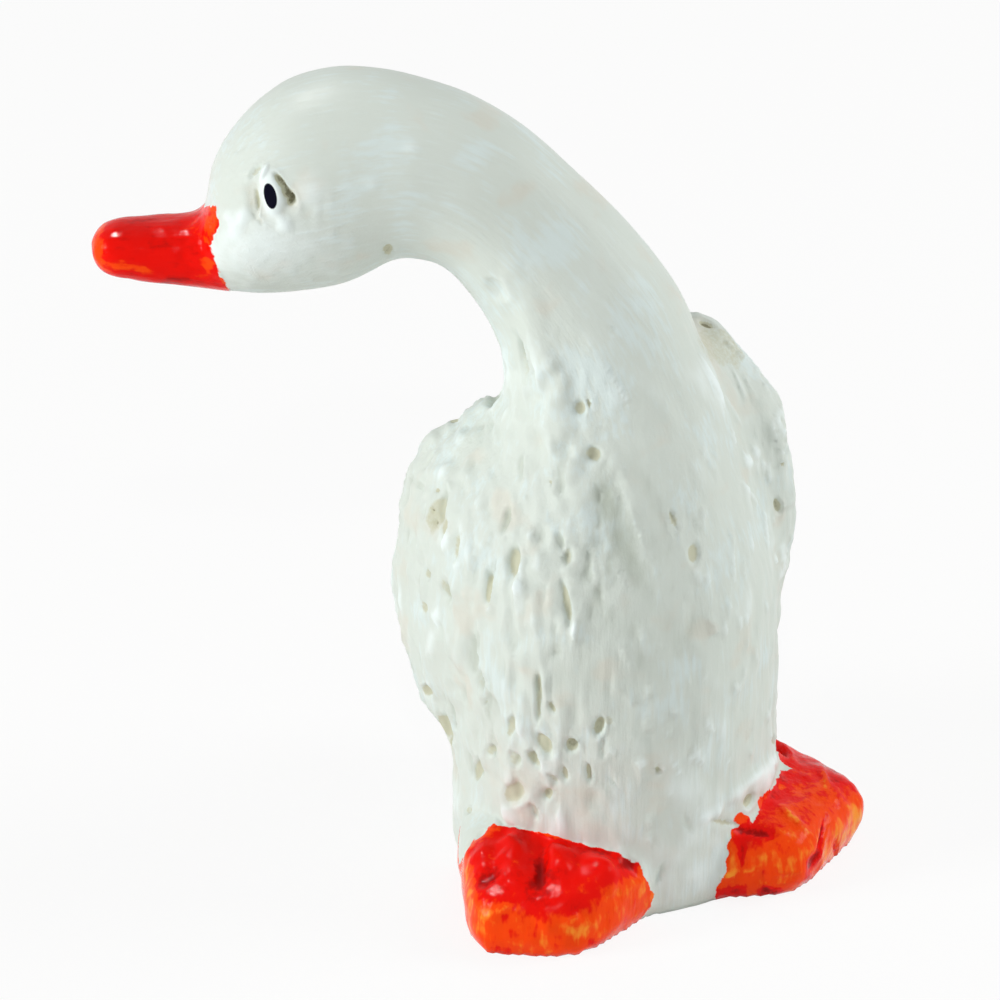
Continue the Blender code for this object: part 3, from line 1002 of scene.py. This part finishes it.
@dataclass(frozen=True)
class Tooling:
    """The relief left by combing, stroking and patting the clay: the height and grain of each kind."""

    comb: float = 0.11
    comb_grain: Grain = Grain((0.8, 0.8, 4.8), 21)
    comb_teeth: Grain = Grain((0.5, 0.5, 2.4), 22)
    groove: float = 0.18
    groove_grain: Grain = Grain((0.7, 0.7, 3.0), 31)
    ridge: float = 0.12
    ridge_grain: Grain = Grain((0.8, 0.8, 3.2), 32)
    stroked_flat: float = 0.72  # how much of the combing is gone on the stroked side
    fold: float = 0.10
    fold_grain: Grain = Grain((1.1, 1.1, 5.0), 33)
    fold_lean: float = -28.0  # degrees from upright in the picture
    thread: float = 0.16
    thread_grain: Grain = Grain((0.55, 0.55, 3.4), 34)
    pat: float = 0.16
    pat_grain: Grain = Grain((0.7, 0.7, 0.7), 35)
    hand: float = 0.14
    hand_grain: Grain = Grain((4.5, 4.5, 4.5), 25)
    foot_lump: float = 0.13
    beak_lump: float = 0.06
    lump_grain: Grain = Grain((1.6, 1.6, 1.3), 26)
    small_lump_grain: Grain = Grain((0.7, 0.7, 0.5), 27)
    bristle: float = 0.030
    bristle_grain: Grain = Grain((0.5, 0.5, 1.4), 28)
    feather: float = 0.18
    feather_grain: Grain = Grain((1.8, 1.8, 1.5), 23)
    small_feather_grain: Grain = Grain((0.8, 0.8, 0.7), 24)

    def feathers(self, skin: Skin) -> np.ndarray:
        """The scallops patted into the wings, in millimetres: two sizes of round noise, added."""
        large, small = self.feather_grain.at(skin.points), self.small_feather_grain.at(skin.points)
        return self.feather * WINGS.share(skin.points) * (large + 0.6 * small)

    def stroked(self, skin: Skin) -> np.ndarray:
        """1 on the goose's left side, which was stroked smooth and has a thinner coat, and 0 elsewhere."""
        right, _, back = VIEW.axes()
        across = step_up(skin.points @ right, -2.8, 0.8)
        return STROKED.share(skin.points) * across * step_up(skin.normals @ back, 0.0, 0.3)

    def slanted(self, points: np.ndarray) -> np.ndarray:
        """The points on axes that lean with the folds on the goose's left side."""
        right, up, back = VIEW.axes()
        lean = np.radians(self.fold_lean)
        down_fold = up * np.cos(lean) + right * np.sin(lean)
        return np.stack([points @ np.cross(down_fold, back), points @ back, points @ down_fold], axis=1)

    def relief(self, skin: Skin, straight: np.ndarray) -> np.ndarray:
        """The relief of every kind but the feathers.

        Formula: noise stretched along the spine, cut into separate grooves and ridges by smooth steps,
        with folds and threads that lean on the stroked side and rounder lumps on the feet, each times
        the share of the skin that it covers.

        Args:
            skin: The skin.
            straight: Each point's place along and across the spine.

        Returns:
            The relief in millimetres.
        """
        points = skin.points
        body, head, foot = (zone.share(points) for zone in (COMBED, HEAD, FEET))
        stroked = self.stroked(skin)
        comb = self.comb_grain.at(straight) + 0.5 * self.comb_teeth.at(straight)
        grooves = step_up(self.groove_grain.at(straight), 0.34, 0.62)
        ridges = step_up(self.ridge_grain.at(straight), 0.22, 0.60)
        slanted = self.slanted(points)
        threads = step_up(self.thread_grain.at(slanted), 0.42, 0.72)
        patted = step_up(self.pat_grain.at(points), 0.1, 0.5)
        lump = self.lump_grain.at(points) + 0.5 * self.small_lump_grain.at(points)
        combed = body * (1.0 - self.stroked_flat * stroked)
        return (
            combed * (self.comb * comb - self.groove * grooves + self.ridge * ridges)
            + body * stroked * (self.fold * self.fold_grain.at(slanted) + self.thread * threads)
            + self.pat * body * stroked * LEFT_WING.share(points) * patted
            + self.hand * (1.0 - 0.7 * head) * self.hand_grain.at(points)
            + self.foot_lump * foot * step_up(points[:, 2], 0.4, 1.6) * lump
            + self.bristle * (1.0 - 0.6 * head) * (1.0 - foot) * self.bristle_grain.at(straight)
            + self.beak_lump * BEAK.share(points) * lump
        ) * step_up(points[:, 2], 0.1, 0.6)


@dataclass
class GooseFigurine:
    """The figurine: its forms welded, relaxed, marked, painted and put in its place."""

    name: str = "painted_goose"
    voxel: float = 0.32  # millimetres between the welded skin's points
    smoothing: float = 0.5  # how much of the way to its neighbours a point moves each round
    rounds: int = 7  # rounds of smoothing all over
    flank_rounds: int = 6  # further rounds on the left flank
    evening: float = 0.4  # the smoothing where the skin is refined
    evening_rounds: int = 3
    near_mark: float = 1.5  # half sizes from a mark, within which the skin is refined
    near_enamel: float = 0.35  # millimetres from the enamel's edge, within which it is refined
    enamel_coat: float = 0.05  # millimetres that the enamel stands over the white
    neck_painted_light: float = 0.09  # the rise that paints the neck's white paler: painted light
    forms: GooseForms = field(default_factory=GooseForms)
    tooling: Tooling = Tooling()
    pits: ScatteredPits = ScatteredPits()

    def near_side(self, vectors: np.ndarray, far: np.ndarray) -> np.ndarray:
        """The vectors, with those of the far side mirrored in the neck's plane."""
        _, across = self.forms.spine.axes()
        return vectors - 2 * np.where(far, vectors @ across, 0.0)[:, None] * across

    def weld(self) -> bpy.types.Mesh:
        """Joins the forms into one closed skin of even cells."""
        raw = bpy.data.objects.new("raw_clay", welded_mesh("raw_clay", self.forms.grids()))
        bpy.context.scene.collection.objects.link(raw)
        join = raw.modifiers.new("join", "REMESH")
        join.mode = "VOXEL"
        join.voxel_size = self.voxel
        ready = raw.evaluated_get(bpy.context.evaluated_depsgraph_get())
        mesh = bpy.data.meshes.new_from_object(ready)
        mesh.name = self.name
        bpy.data.objects.remove(raw)
        return mesh

    def soften(self, skin: Skin) -> None:
        """Relaxes the skin: a little all over, and more in each zone that a finger smoothed."""
        skin.relax(np.full(len(skin.points), self.smoothing), self.rounds)
        breast, root, forehead, left = (
            zone.share(skin.points) for zone in (BREAST_FLANK, BEAK_ROOT, FOREHEAD, LEFT_FLANK)
        )
        BREAST_FLANK.smooth(skin, breast)
        LEFT_FLANK.smooth(skin, left, fill=True)
        skin.relax(self.smoothing * left, self.flank_rounds)
        GROUND_RIM.smooth(skin)
        BEAK_ROOT.smooth(skin, root)
        FOREHEAD.smooth(skin, forehead)

    def press_marks(
        self, skin: Skin, marks: tuple[Mark, ...], mirrored: bool = False
    ) -> tuple[np.ndarray, np.ndarray, np.ndarray]:
        """Works out a set of marks on the skin that the photograph shows.

        Formula: the sum of the marks' own reliefs, times a smooth step that is 1 where the skin faces
        the camera. Noise makes their rims wander.

        Args:
            skin: The skin.
            marks: The marks.
            mirrored: Whether the neck's far side takes the same marks.

        Returns:
            The relief in millimetres, the stain, and the nearness of the nearest mark.
        """
        _, across = self.forms.spine.axes()
        far = (skin.points @ across < 0.0) & mirrored
        points, normals = self.near_side(skin.points, far), self.near_side(skin.normals, far)
        pixels = VIEW.project(points)
        seen = step_up(normals @ VIEW.axes()[2], 0.03, 0.22)
        wander = MARK_WANDER * MARK_GRAIN.at(points)
        relief, stain = np.zeros(len(points)), np.zeros(len(points))
        nearest = np.full(len(points), -OUTSIDE)
        for mark in marks:
            near = mark.nearness(pixels) * (1.0 + wander)
            relief += seen * mark.relief(pixels, wander)
            stain = np.maximum(stain, mark.stain * seen * step_up(near, 1.15, 0.5))
            nearest = np.minimum(nearest, np.where(seen > 0.0, near, -OUTSIDE))
        return relief, stain, nearest

    def enamel(self, skin: Skin) -> tuple[np.ndarray, np.ndarray]:
        """Where the red enamel is, and how thin.

        Formula: where the photograph shows the skin, the distance inside the nearest patch, and on the
        beak never over its top row. On the far side of a foot, how far the skin lies outside the
        body's oval and inside the foot's form, less over the foot's top. The enamel is more orange on
        upright and low skin and on the left foot, and as the licks say.

        Args:
            skin: The skin.

        Returns:
            Millimetres inside the enamel's edge, and the share of orange.
        """
        way, across = self.forms.spine.axes()
        back = VIEW.axes()[2]
        x, _, z = skin.points.T
        facing = skin.normals @ back
        high = z > HEAD_LOW
        mirrored = self.near_side(skin.points, skin.points @ across < 0.0)
        pixels, straight_pixels = VIEW.project(mirrored), VIEW.project(skin.points)
        under_brow = straight_pixels[:, 1] - BEAK_TOP
        beak = np.where(high, np.minimum(BEAK_PATCH.inside(pixels), under_brow) * VIEW.pixel(), OUTSIDE)
        body = np.hypot(skin.points @ way / BODY_HALF[0], skin.points @ across / BODY_HALF[1])
        fills = [foot.fill(skin.points) for foot in (self.forms.right_foot, self.forms.left_foot)]
        behind = (body - 1.0) * BODY_REACH - (np.minimum(*fills) - 1.0) * FOOT_REACH
        behind -= TOP_FALL * step_up(z - np.where(x < 0.0, *FOOT_TOPS), 0.0, 1.4)
        patches = [patch.inside(straight_pixels) for patch in (RIGHT_FOOT_PATCH, LEFT_FOOT_PATCH)]
        seen = step_up(facing, -0.12, 0.06) * (skin.points @ back > 2.0)
        feet = behind + seen * (np.maximum(*patches) * VIEW.pixel() - behind)
        feet = np.where(high, OUTSIDE, feet - TOP_FALL * step_up(z, 6.0, 8.5))
        upright, low = step_up(skin.normals[:, 2], 0.75, 0.35), step_up(z, 4.4, 2.6)
        thin_foot = np.maximum(0.75 * upright, 0.9 * low) + 0.1 * step_up(x, 3.0, 6.0)
        thin_foot += step_up(facing, 0.0, 0.2) * self.licked(skin.points, straight_pixels, FOOT_LICKS)
        thin_foot -= 0.55 * np.maximum(thin_foot - 0.9, 0.0)
        thin_beak = self.licked(mirrored, pixels, BEAK_LICKS)
        return np.maximum(beak, feet), np.where(high, thin_beak, thin_foot)

    def licked(self, points: np.ndarray, pixels: np.ndarray, licks: tuple[Lick, ...]) -> np.ndarray:
        """How thin a set of brush licks leaves the enamel.

        Formula: the sum of each lick's thinness, which fades by a smooth step from its middle to its rim.

        Args:
            points: The skin's points, which make the rims uneven.
            pixels: Where the picture shows them.
            licks: The licks.

        Returns:
            One value for each point: above 0 is thin, and below is pooled, and on the feet's hollows painted
                shade too.
        """
        wander = 1.0 + LICK_WANDER * LICK_GRAIN.at(points)
        thin = np.zeros(len(points))
        for lick in licks:
            thin += lick.thin * step_up(lick.nearness(pixels) * wander, 1.4, 0.35)
        return thin

    def refine(self, mesh: bpy.types.Mesh, near: np.ndarray) -> None:
        """Splits the cells round the marks in four, so that their rims are crisp.

        Args:
            mesh: The mesh.
            near: Whether each point is near a mark.
        """
        work = bmesh.new()
        work.from_mesh(mesh)
        edges = [edge for edge in work.edges if near[edge.verts[0].index] and near[edge.verts[1].index]]
        bmesh.ops.subdivide_edges(work, edges=edges, cuts=1, use_grid_fill=True)
        work.to_mesh(mesh)
        work.free()

    def fine_skin(self) -> tuple[bpy.types.Mesh, Skin]:
        """Welds and smooths the clay, and refines it where marks and edges come.

        Returns:
            The mesh, and its skin.
        """
        mesh = self.weld()
        skin = Skin.read(mesh)
        LOG.info("welded skin: %d points", len(skin.points))
        self.soften(skin)
        skin.write(mesh)
        skin = Skin.read(mesh)
        nearest = np.minimum(
            self.press_marks(skin, BREAST_PITS)[2], self.press_marks(skin, EYE_MARKS_AND_PAINTED_HIGHLIGHTS, mirrored=True)[2]
        )
        enamel, _ = self.enamel(skin)
        self.refine(mesh, (nearest < self.near_mark) | (np.abs(enamel) < self.near_enamel))
        skin = Skin.read(mesh)
        skin.relax(np.full(len(skin.points), self.evening), self.evening_rounds)
        skin.write(mesh)
        LOG.info("refined skin: %d points", len(skin.points))
        return mesh, Skin.read(mesh)

    def build(self) -> bpy.types.Object:
        """Makes the figurine's mesh with its fields.

        Formula: each point moves along its normal by the sum of the swells, feathers, tooling and
        marks.

        Returns:
            The object, in metres, without its material.
        """
        mesh, skin = self.fine_skin()
        straight = self.forms.straightened(skin.points)
        enamel, orange = self.enamel(skin)
        coat = self.enamel_coat * step_up(enamel, -0.05, 0.12)
        swell = self.press_marks(skin, SWELLS)[0] + coat + self.tooling.feathers(skin)
        relief, stain = self.tooling.relief(skin, straight), np.zeros(len(skin.points))
        tools = (BREAST_PITS, RIDGES_AND_PAINTED_LIGHT, HOLLOWS_AND_PAINTED_SHADE, FOOT_MARKS)
        pressings = [self.press_marks(skin, marks)[:2] for marks in tools]
        pressings += [self.press_marks(skin, EYE_MARKS_AND_PAINTED_HIGHLIGHTS, mirrored=True)[:2], self.pits.press(skin)]
        for pressed, stained in pressings:
            relief += pressed
            stain = np.maximum(stain, stained)
        fields = {
            Field.STAIN: stain,
            Field.ENAMEL: enamel,
            Field.ORANGE: orange,
            Field.PUPIL: self.pupil(skin),
            # The neck's extra rise paints its white paler: painted light.
            Field.RISE: relief + self.neck_painted_light * step_up(straight[:, 2], 33.0, 42.0),
        }
        skin.points += (swell + relief)[:, None] * skin.normals
        skin.points[skin.points[:, 2] < GROUND_CONTACT, 2] = 0.0
        self.keep_in_box(skin)
        skin.write(mesh, MM)
        for kind, values in fields.items():
            layer = mesh.attributes.new(kind.value, "FLOAT", "POINT")
            layer.data.foreach_set("value", values.astype(np.float32))
        layer = mesh.attributes.new(Field.BRUSH.value, "FLOAT_VECTOR", "POINT")
        layer.data.foreach_set("vector", straight.astype(np.float32).ravel())
        mesh.shade_smooth()
        made = bpy.data.objects.new(self.name, mesh)
        bpy.context.scene.collection.objects.link(made)
        return made

    def pupil(self, skin: Skin) -> np.ndarray:
        """Millimetres inside the edge of the pupil, on both sides of the head."""
        _, across = self.forms.spine.axes()
        far = skin.points @ across < 0.0
        pixels = VIEW.project(self.near_side(skin.points, far))
        inside = (1.0 - PUPIL.nearness(pixels)) * PUPIL.width / 2 * VIEW.pixel()
        return np.where(skin.points[:, 2] > HEAD_LOW, inside, OUTSIDE)

    def keep_in_box(self, skin: Skin) -> None:
        """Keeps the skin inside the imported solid's box."""
        low, high = (np.array(corner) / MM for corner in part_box("goose"))
        skin.points = np.clip(skin.points, low, high)


def linear(colour: str) -> tuple[float, float, float, float]:
    """Turns an sRGB hex colour such as "#DDE4DD" into linear values.

    Formula: c / 12.92 below 0.04045, and ((c + 0.055) / 1.055) to the power of 2.4 above.

    Args:
        colour: The colour.

    Returns:
        Red, green, blue and alpha.
    """
    parts = [int(colour[i : i + 2], 16) / 255 for i in (1, 3, 5)]
    red, green, blue = [c / 12.92 if c <= 0.04045 else ((c + 0.055) / 1.055) ** 2.4 for c in parts]
    return red, green, blue, 1.0


def add_node(tree: bpy.types.NodeTree, kind: str, settings: dict, inputs: dict) -> bpy.types.Node:
    """Adds a node, sets it and links it.

    Args:
        tree: The node tree.
        kind: The node's type.
        settings: The node's own settings by name.
        inputs: A value, or the output to link, by the input's name or number.

    Returns:
        The node.
    """
    node = tree.nodes.new(kind)
    for name, value in settings.items():
        setattr(node, name, value)
    for key, value in inputs.items():
        if isinstance(value, Socket):
            tree.links.new(value, node.inputs[key])
        else:
            node.inputs[key].default_value = value
    return node


@dataclass(frozen=True)
class Coat:
    """A colour laid over another, where some value is past a smooth step."""

    colour: str
    starts: float
    full: float


@dataclass(frozen=True)
class BrushedAcrylic:
    """White hobby acrylic, brushed on in thin coats: satin, faintly green-grey, warmer where thin."""

    body: str = "#D5DDD5"
    warm: Coat = Coat("#D6D8CD", 0.44, 0.30)  # over the clouds' low parts
    cool: Coat = Coat("#D8E4E1", 0.50, 0.72)  # over the clouds' high parts and the strokes
    # The groove and ridge coats are painted shade and painted highlight: the white is painted darker where
    # the skin lies below its smooth form, and lighter where it stands over it.
    groove: Coat = Coat("#B9C1B5", -0.06, -0.42)  # over millimetres of rise
    ridge: Coat = Coat("#EDF7F5", 0.06, 0.38)
    roughness: float = 0.4
    stroke: Vector3 = (0.30, 0.30, 2.6)  # millimetres across, across and along
    cloud: float = 4.0  # millimetres from one thin patch to the next
    brushing: float = 0.5  # how much the strokes show in the clouds
    streak: float = 0.09  # millimetres that a stroke adds to the rise


@dataclass(frozen=True)
class BareClay:
    """Clay left bare in the pits: matt and beige, and olive where dirt has settled."""

    dry: Coat = Coat("#C6C7B0", 0.35, 0.95)  # over the stain
    dirty: Coat = Coat("#77735A", 1.25, 2.0)
    roughness: float = 0.65
    grit: float = 0.22  # millimetres
    grittiness: float = 0.6  # how much the grit breaks up the stain


@dataclass(frozen=True)
class BrushedEnamel:
    """Gloss enamel over the white: deep red where it pooled and, in hollows, painted shade too; orange where
    it is thin.
    """

    red: str = "#EC0E04"
    dark: Coat = Coat("#A20604", -0.1, -1.2)  # over the thinness, less in hollows: pooled enamel and painted shade there
    orange: Coat = Coat("#FA4606", 0.25, 0.75)  # over the thinness
    yellow: Coat = Coat("#FF9A30", 0.95, 1.8)
    roughness: float = 0.1
    stroke: Vector3 = (0.35, 0.35, 1.6)
    pool: float = 1.4  # millimetres from one pool to the next
    pooling: float = 2.1  # how much the pools change the thinness
    streak: float = 1.3  # how much the strokes change it
    sinking: float = 1.6  # how much a millimetre of hollow lessens it, painting the hollows darker: painted shade
    ragged: float = 0.7  # millimetres of the edge's unevenness, across and along


@dataclass(frozen=True)
class EyeEnamel:
    """A single touch of black enamel: almost mirror-smooth."""

    black: str = "#07071A"
    roughness: float = 0.07


@dataclass(frozen=True)
class GoosePaint:
    """Acrylic and enamel brushed by hand over tooled clay.

    The eye sees satin white with faint strokes along the neck, dull beige pits, wet-looking red that
    thins to orange at the edges, and a ragged edge where the two paints meet.
    """

    acrylic: BrushedAcrylic = BrushedAcrylic()
    clay: BareClay = BareClay()
    enamel: BrushedEnamel = BrushedEnamel()
    eye: EyeEnamel = EyeEnamel()
    specular: float = 0.06  # thin hobby paint reflects less than a clear lacquer
    sheen: float = 0.25  # how much the clouds change the roughness
    bristle_depth: float = 0.05  # millimetres
    bristle_strength: float = 0.8
    bristle_grit: float = 0.35  # how much of the relief is grit

    def make(self) -> bpy.types.Material:
        """Makes the material from the skin's fields and the strokes of the brush."""
        material = bpy.data.materials.new("acrylic_and_enamel_brushed_on_tooled_clay")
        material.use_nodes = True
        tree = material.node_tree
        tree.nodes.clear()
        read = {
            kind: add_node(tree, "ShaderNodeAttribute", {"attribute_name": kind.value}, {}) for kind in Field
        }
        place = add_node(tree, "ShaderNodeTexCoord", {}, {}).outputs["Object"]
        in_mm = add_node(tree, "ShaderNodeMapping", {}, {"Vector": place, "Scale": (1 / MM,) * 3})
        place = in_mm.outputs["Vector"]
        brush = read[Field.BRUSH].outputs["Vector"]

        def noise(vector: Socket, size: tuple[float, ...], detail: float) -> Socket:
            """Noise whose cells have a size in millimetres."""
            spread = {"Vector": vector, "Scale": tuple(1 / s for s in size)}
            scaled = add_node(tree, "ShaderNodeMapping", {}, spread).outputs[0]
            settings = {"Vector": scaled, "Scale": 1.0, "Detail": detail}
            return add_node(tree, "ShaderNodeTexNoise", {}, settings).outputs["Fac"]

        def ramp(value: Socket, low: float, high: float) -> Socket:
            """A smooth step from low to high."""
            ends = {"Value": value, "From Min": low, "From Max": high}
            return add_node(tree, "ShaderNodeMapRange", {"interpolation_type": "SMOOTHSTEP"}, ends).outputs[0]

        def sums(operation: str, *values: object) -> Socket:
            """A sum worked out by a math node."""
            inputs = dict(enumerate(values))
            return add_node(tree, "ShaderNodeMath", {"operation": operation}, inputs).outputs[0]

        def total(value: Socket, other: Socket, share: float) -> Socket:
            """A value plus a share of another's way above one half."""
            return sums("MULTIPLY_ADD", sums("SUBTRACT", other, 0.5), share, value)

        def mixed(share: object, first: object, second: object) -> Socket:
            """Two colours mixed by a share."""
            inputs = {0: share, 6: first, 7: second}
            return add_node(tree, "ShaderNodeMix", {"data_type": "RGBA"}, inputs).outputs[2]

        def coated(base: object, *coats: tuple[Socket, Coat]) -> object:
            """A colour with coats laid over it, each by its own value."""
            for value, coat in coats:
                base = mixed(ramp(value, coat.starts, coat.full), base, linear(coat.colour))
            return base

        def grey(level: float) -> tuple[float, float, float, float]:
            """A level as a colour, so that it can be mixed like one."""
            return (level, level, level, 1.0)

        acrylic, clay, enamel = self.acrylic, self.clay, self.enamel
        cloud = noise(place, (acrylic.cloud,) * 3, 3.0)
        stroke = noise(brush, acrylic.stroke, 4.0)
        grit = noise(place, (clay.grit,) * 3, 3.0)
        brushed_cloud = total(cloud, stroke, acrylic.brushing)
        rise = total(read[Field.RISE].outputs["Fac"], stroke, acrylic.streak)
        stain = total(read[Field.STAIN].outputs["Fac"], grit, clay.grittiness)
        white = coated(
            linear(acrylic.body),
            (cloud, acrylic.warm),
            (brushed_cloud, acrylic.cool),
            # painted shade where the skin is low, and painted highlight where it is raised
            (rise, acrylic.groove),
            (rise, acrylic.ridge),
            (stain, clay.dry),
            (stain, clay.dirty),
        )

        pool = noise(place, (enamel.pool,) * 3, 3.0)
        lick = noise(brush, enamel.stroke, 3.0)
        thin = total(read[Field.ORANGE].outputs["Fac"], pool, enamel.pooling)
        thin = total(thin, lick, enamel.streak)
        # The red is painted darker in the hollows: pooled enamel and painted shade.
        pooled = sums("MULTIPLY_ADD", sums("MINIMUM", rise, 0.0), enamel.sinking, thin)
        red = coated(linear(enamel.red), (pooled, enamel.dark), (thin, enamel.orange), (thin, enamel.yellow))

        tatter = noise(place, (enamel.ragged,) * 3, 4.0)
        painted = ramp(total(read[Field.ENAMEL].outputs["Fac"], tatter, enamel.ragged), -0.03, 0.05)
        seen = ramp(read[Field.PUPIL].outputs["Fac"], -0.02, 0.03)
        colour = mixed(seen, mixed(painted, white, red), linear(self.eye.black))

        rough = mixed(ramp(stain, 0.5, 1.0), grey(acrylic.roughness), grey(clay.roughness))
        rough = mixed(painted, rough, grey(enamel.roughness))
        rough = mixed(seen, rough, grey(self.eye.roughness))
        rough = add_node(tree, "ShaderNodeSeparateColor", {}, {"Color": rough}).outputs[0]

        relief = {
            "Strength": self.bristle_strength,
            "Distance": self.bristle_depth * MM,
            "Height": total(stroke, grit, self.bristle_grit),
        }
        settings = {
            "Base Color": colour,
            "Roughness": total(rough, cloud, self.sheen),
            "Normal": add_node(tree, "ShaderNodeBump", {}, relief).outputs[0],
            "Specular IOR Level": self.specular,
        }
        shader = add_node(tree, "ShaderNodeBsdfPrincipled", {}, settings)
        add_node(tree, "ShaderNodeOutputMaterial", {}, {"Surface": shader.outputs[0]})
        return material


@dataclass(frozen=True)
class Lamp:
    """A soft square lamp that faces the figurine."""

    name: str
    place: Vector3  # metres
    side: float  # metres
    power: float  # watts
    mirrored: bool = False  # whether it only shows as a reflection in gloss, and lights nothing else

    def hang(self) -> None:
        """Hangs the lamp."""
        data = bpy.data.lights.new(self.name, "AREA")
        data.size = self.side
        data.energy = self.power
        lamp = bpy.data.objects.new(self.name, data)
        lamp.location = self.place
        lamp.visible_diffuse = not self.mirrored
        aim = Vector(VIEW.aim) * MM - Vector(self.place)
        lamp.rotation_euler = aim.to_track_quat("-Z", "Y").to_euler()
        bpy.context.scene.collection.objects.link(lamp)


@dataclass(frozen=True)
class Studio:
    """A pale floor under an even sky, with soft lamps from the left and the right and a small one in front.

    A last lamp, behind and above, gives the enamel its wet highlights.
    """

    floor_half: float = 3.0  # metres
    floor_colour: str = "#F2F2F0"
    whiteness: float = 0.88  # how much of the floor the camera sees as plain white
    sky: float = 0.34
    lamps: tuple[Lamp, ...] = (
        Lamp("key", (-0.60, 0.06, 0.25), 0.20, 2.55),
        Lamp("glint", (-0.22, -0.44, 0.42), 0.025, 0.5),
        Lamp("spark", (-0.16, 0.20, 0.56), 0.09, 6.0, mirrored=True),
        Lamp("fill", (0.55, -0.17, 0.38), 0.30, 2.3),
    )

    def floor(self) -> None:
        """Makes the floor, which keeps the figurine's shadow."""
        mesh = bpy.data.meshes.new("floor")
        signs = ((-1, -1), (1, -1), (1, 1), (-1, 1))
        corners = [(x * self.floor_half, y * self.floor_half, 0) for x, y in signs]
        mesh.from_pydata(corners, [], [(0, 1, 2, 3)])
        floor = bpy.data.objects.new("floor", mesh)
        bpy.context.scene.collection.objects.link(floor)
        material = bpy.data.materials.new("matt_paper")
        material.use_nodes = True
        tree = material.node_tree
        tree.nodes.clear()
        paper = add_node(tree, "ShaderNodeBsdfDiffuse", {}, {"Color": linear(self.floor_colour)})
        white = add_node(tree, "ShaderNodeEmission", {}, {"Strength": 1.0})
        factors = {0: self.seen_rays(tree), 1: self.whiteness}
        share = add_node(tree, "ShaderNodeMath", {"operation": "MULTIPLY"}, factors)
        parts = {0: share.outputs[0], 1: paper.outputs[0], 2: white.outputs[0]}
        mix = add_node(tree, "ShaderNodeMixShader", {}, parts)
        add_node(tree, "ShaderNodeOutputMaterial", {}, {"Surface": mix.outputs[0]})
        mesh.materials.append(material)

    def seen_rays(self, tree: bpy.types.NodeTree) -> Socket:
        """1 for rays that the camera sees straight, mirrored or through glass."""
        rays = add_node(tree, "ShaderNodeLightPath", {}, {}).outputs
        seen = rays["Is Camera Ray"]
        for kind in ("Is Glossy Ray", "Is Transmission Ray"):
            either = {0: seen, 1: rays[kind]}
            seen = add_node(tree, "ShaderNodeMath", {"operation": "MAXIMUM"}, either).outputs[0]
        return seen

    def world(self) -> None:
        """Sets an even sky, plain white where the camera sees it."""
        world = bpy.data.worlds.new("studio")
        world.use_nodes = True
        tree = world.node_tree
        tree.nodes.clear()
        levels = {"Value": self.seen_rays(tree), "To Min": self.sky, "To Max": 1.0}
        strength = add_node(tree, "ShaderNodeMapRange", {}, levels).outputs[0]
        sky = add_node(tree, "ShaderNodeBackground", {}, {"Color": (1, 1, 1, 1), "Strength": strength})
        add_node(tree, "ShaderNodeOutputWorld", {}, {"Surface": sky.outputs[0]})
        bpy.context.scene.world = world

    def make(self) -> None:
        """Builds the floor and the sky, and hangs the lamps."""
        self.floor()
        self.world()
        for lamp in self.lamps:
            lamp.hang()


def main() -> None:
    """Builds the figurine and its studio, and reports each."""
    logging.basicConfig(level=logging.INFO, format="%(name)s: %(message)s")
    settings = bpy.context.scene.view_settings
    settings.view_transform = "Standard"
    VIEW.make()
    Studio().make()
    LOG.info("studio and camera are in place")
    goose = GooseFigurine().build()
    goose.data.materials.append(GoosePaint().make())
    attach(goose, "root")
    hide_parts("goose")
    goose.data.calc_loop_triangles()
    LOG.info("%s: %d triangles", goose.name, len(goose.data.loop_triangles))


if __name__ == "__main__":
    main()
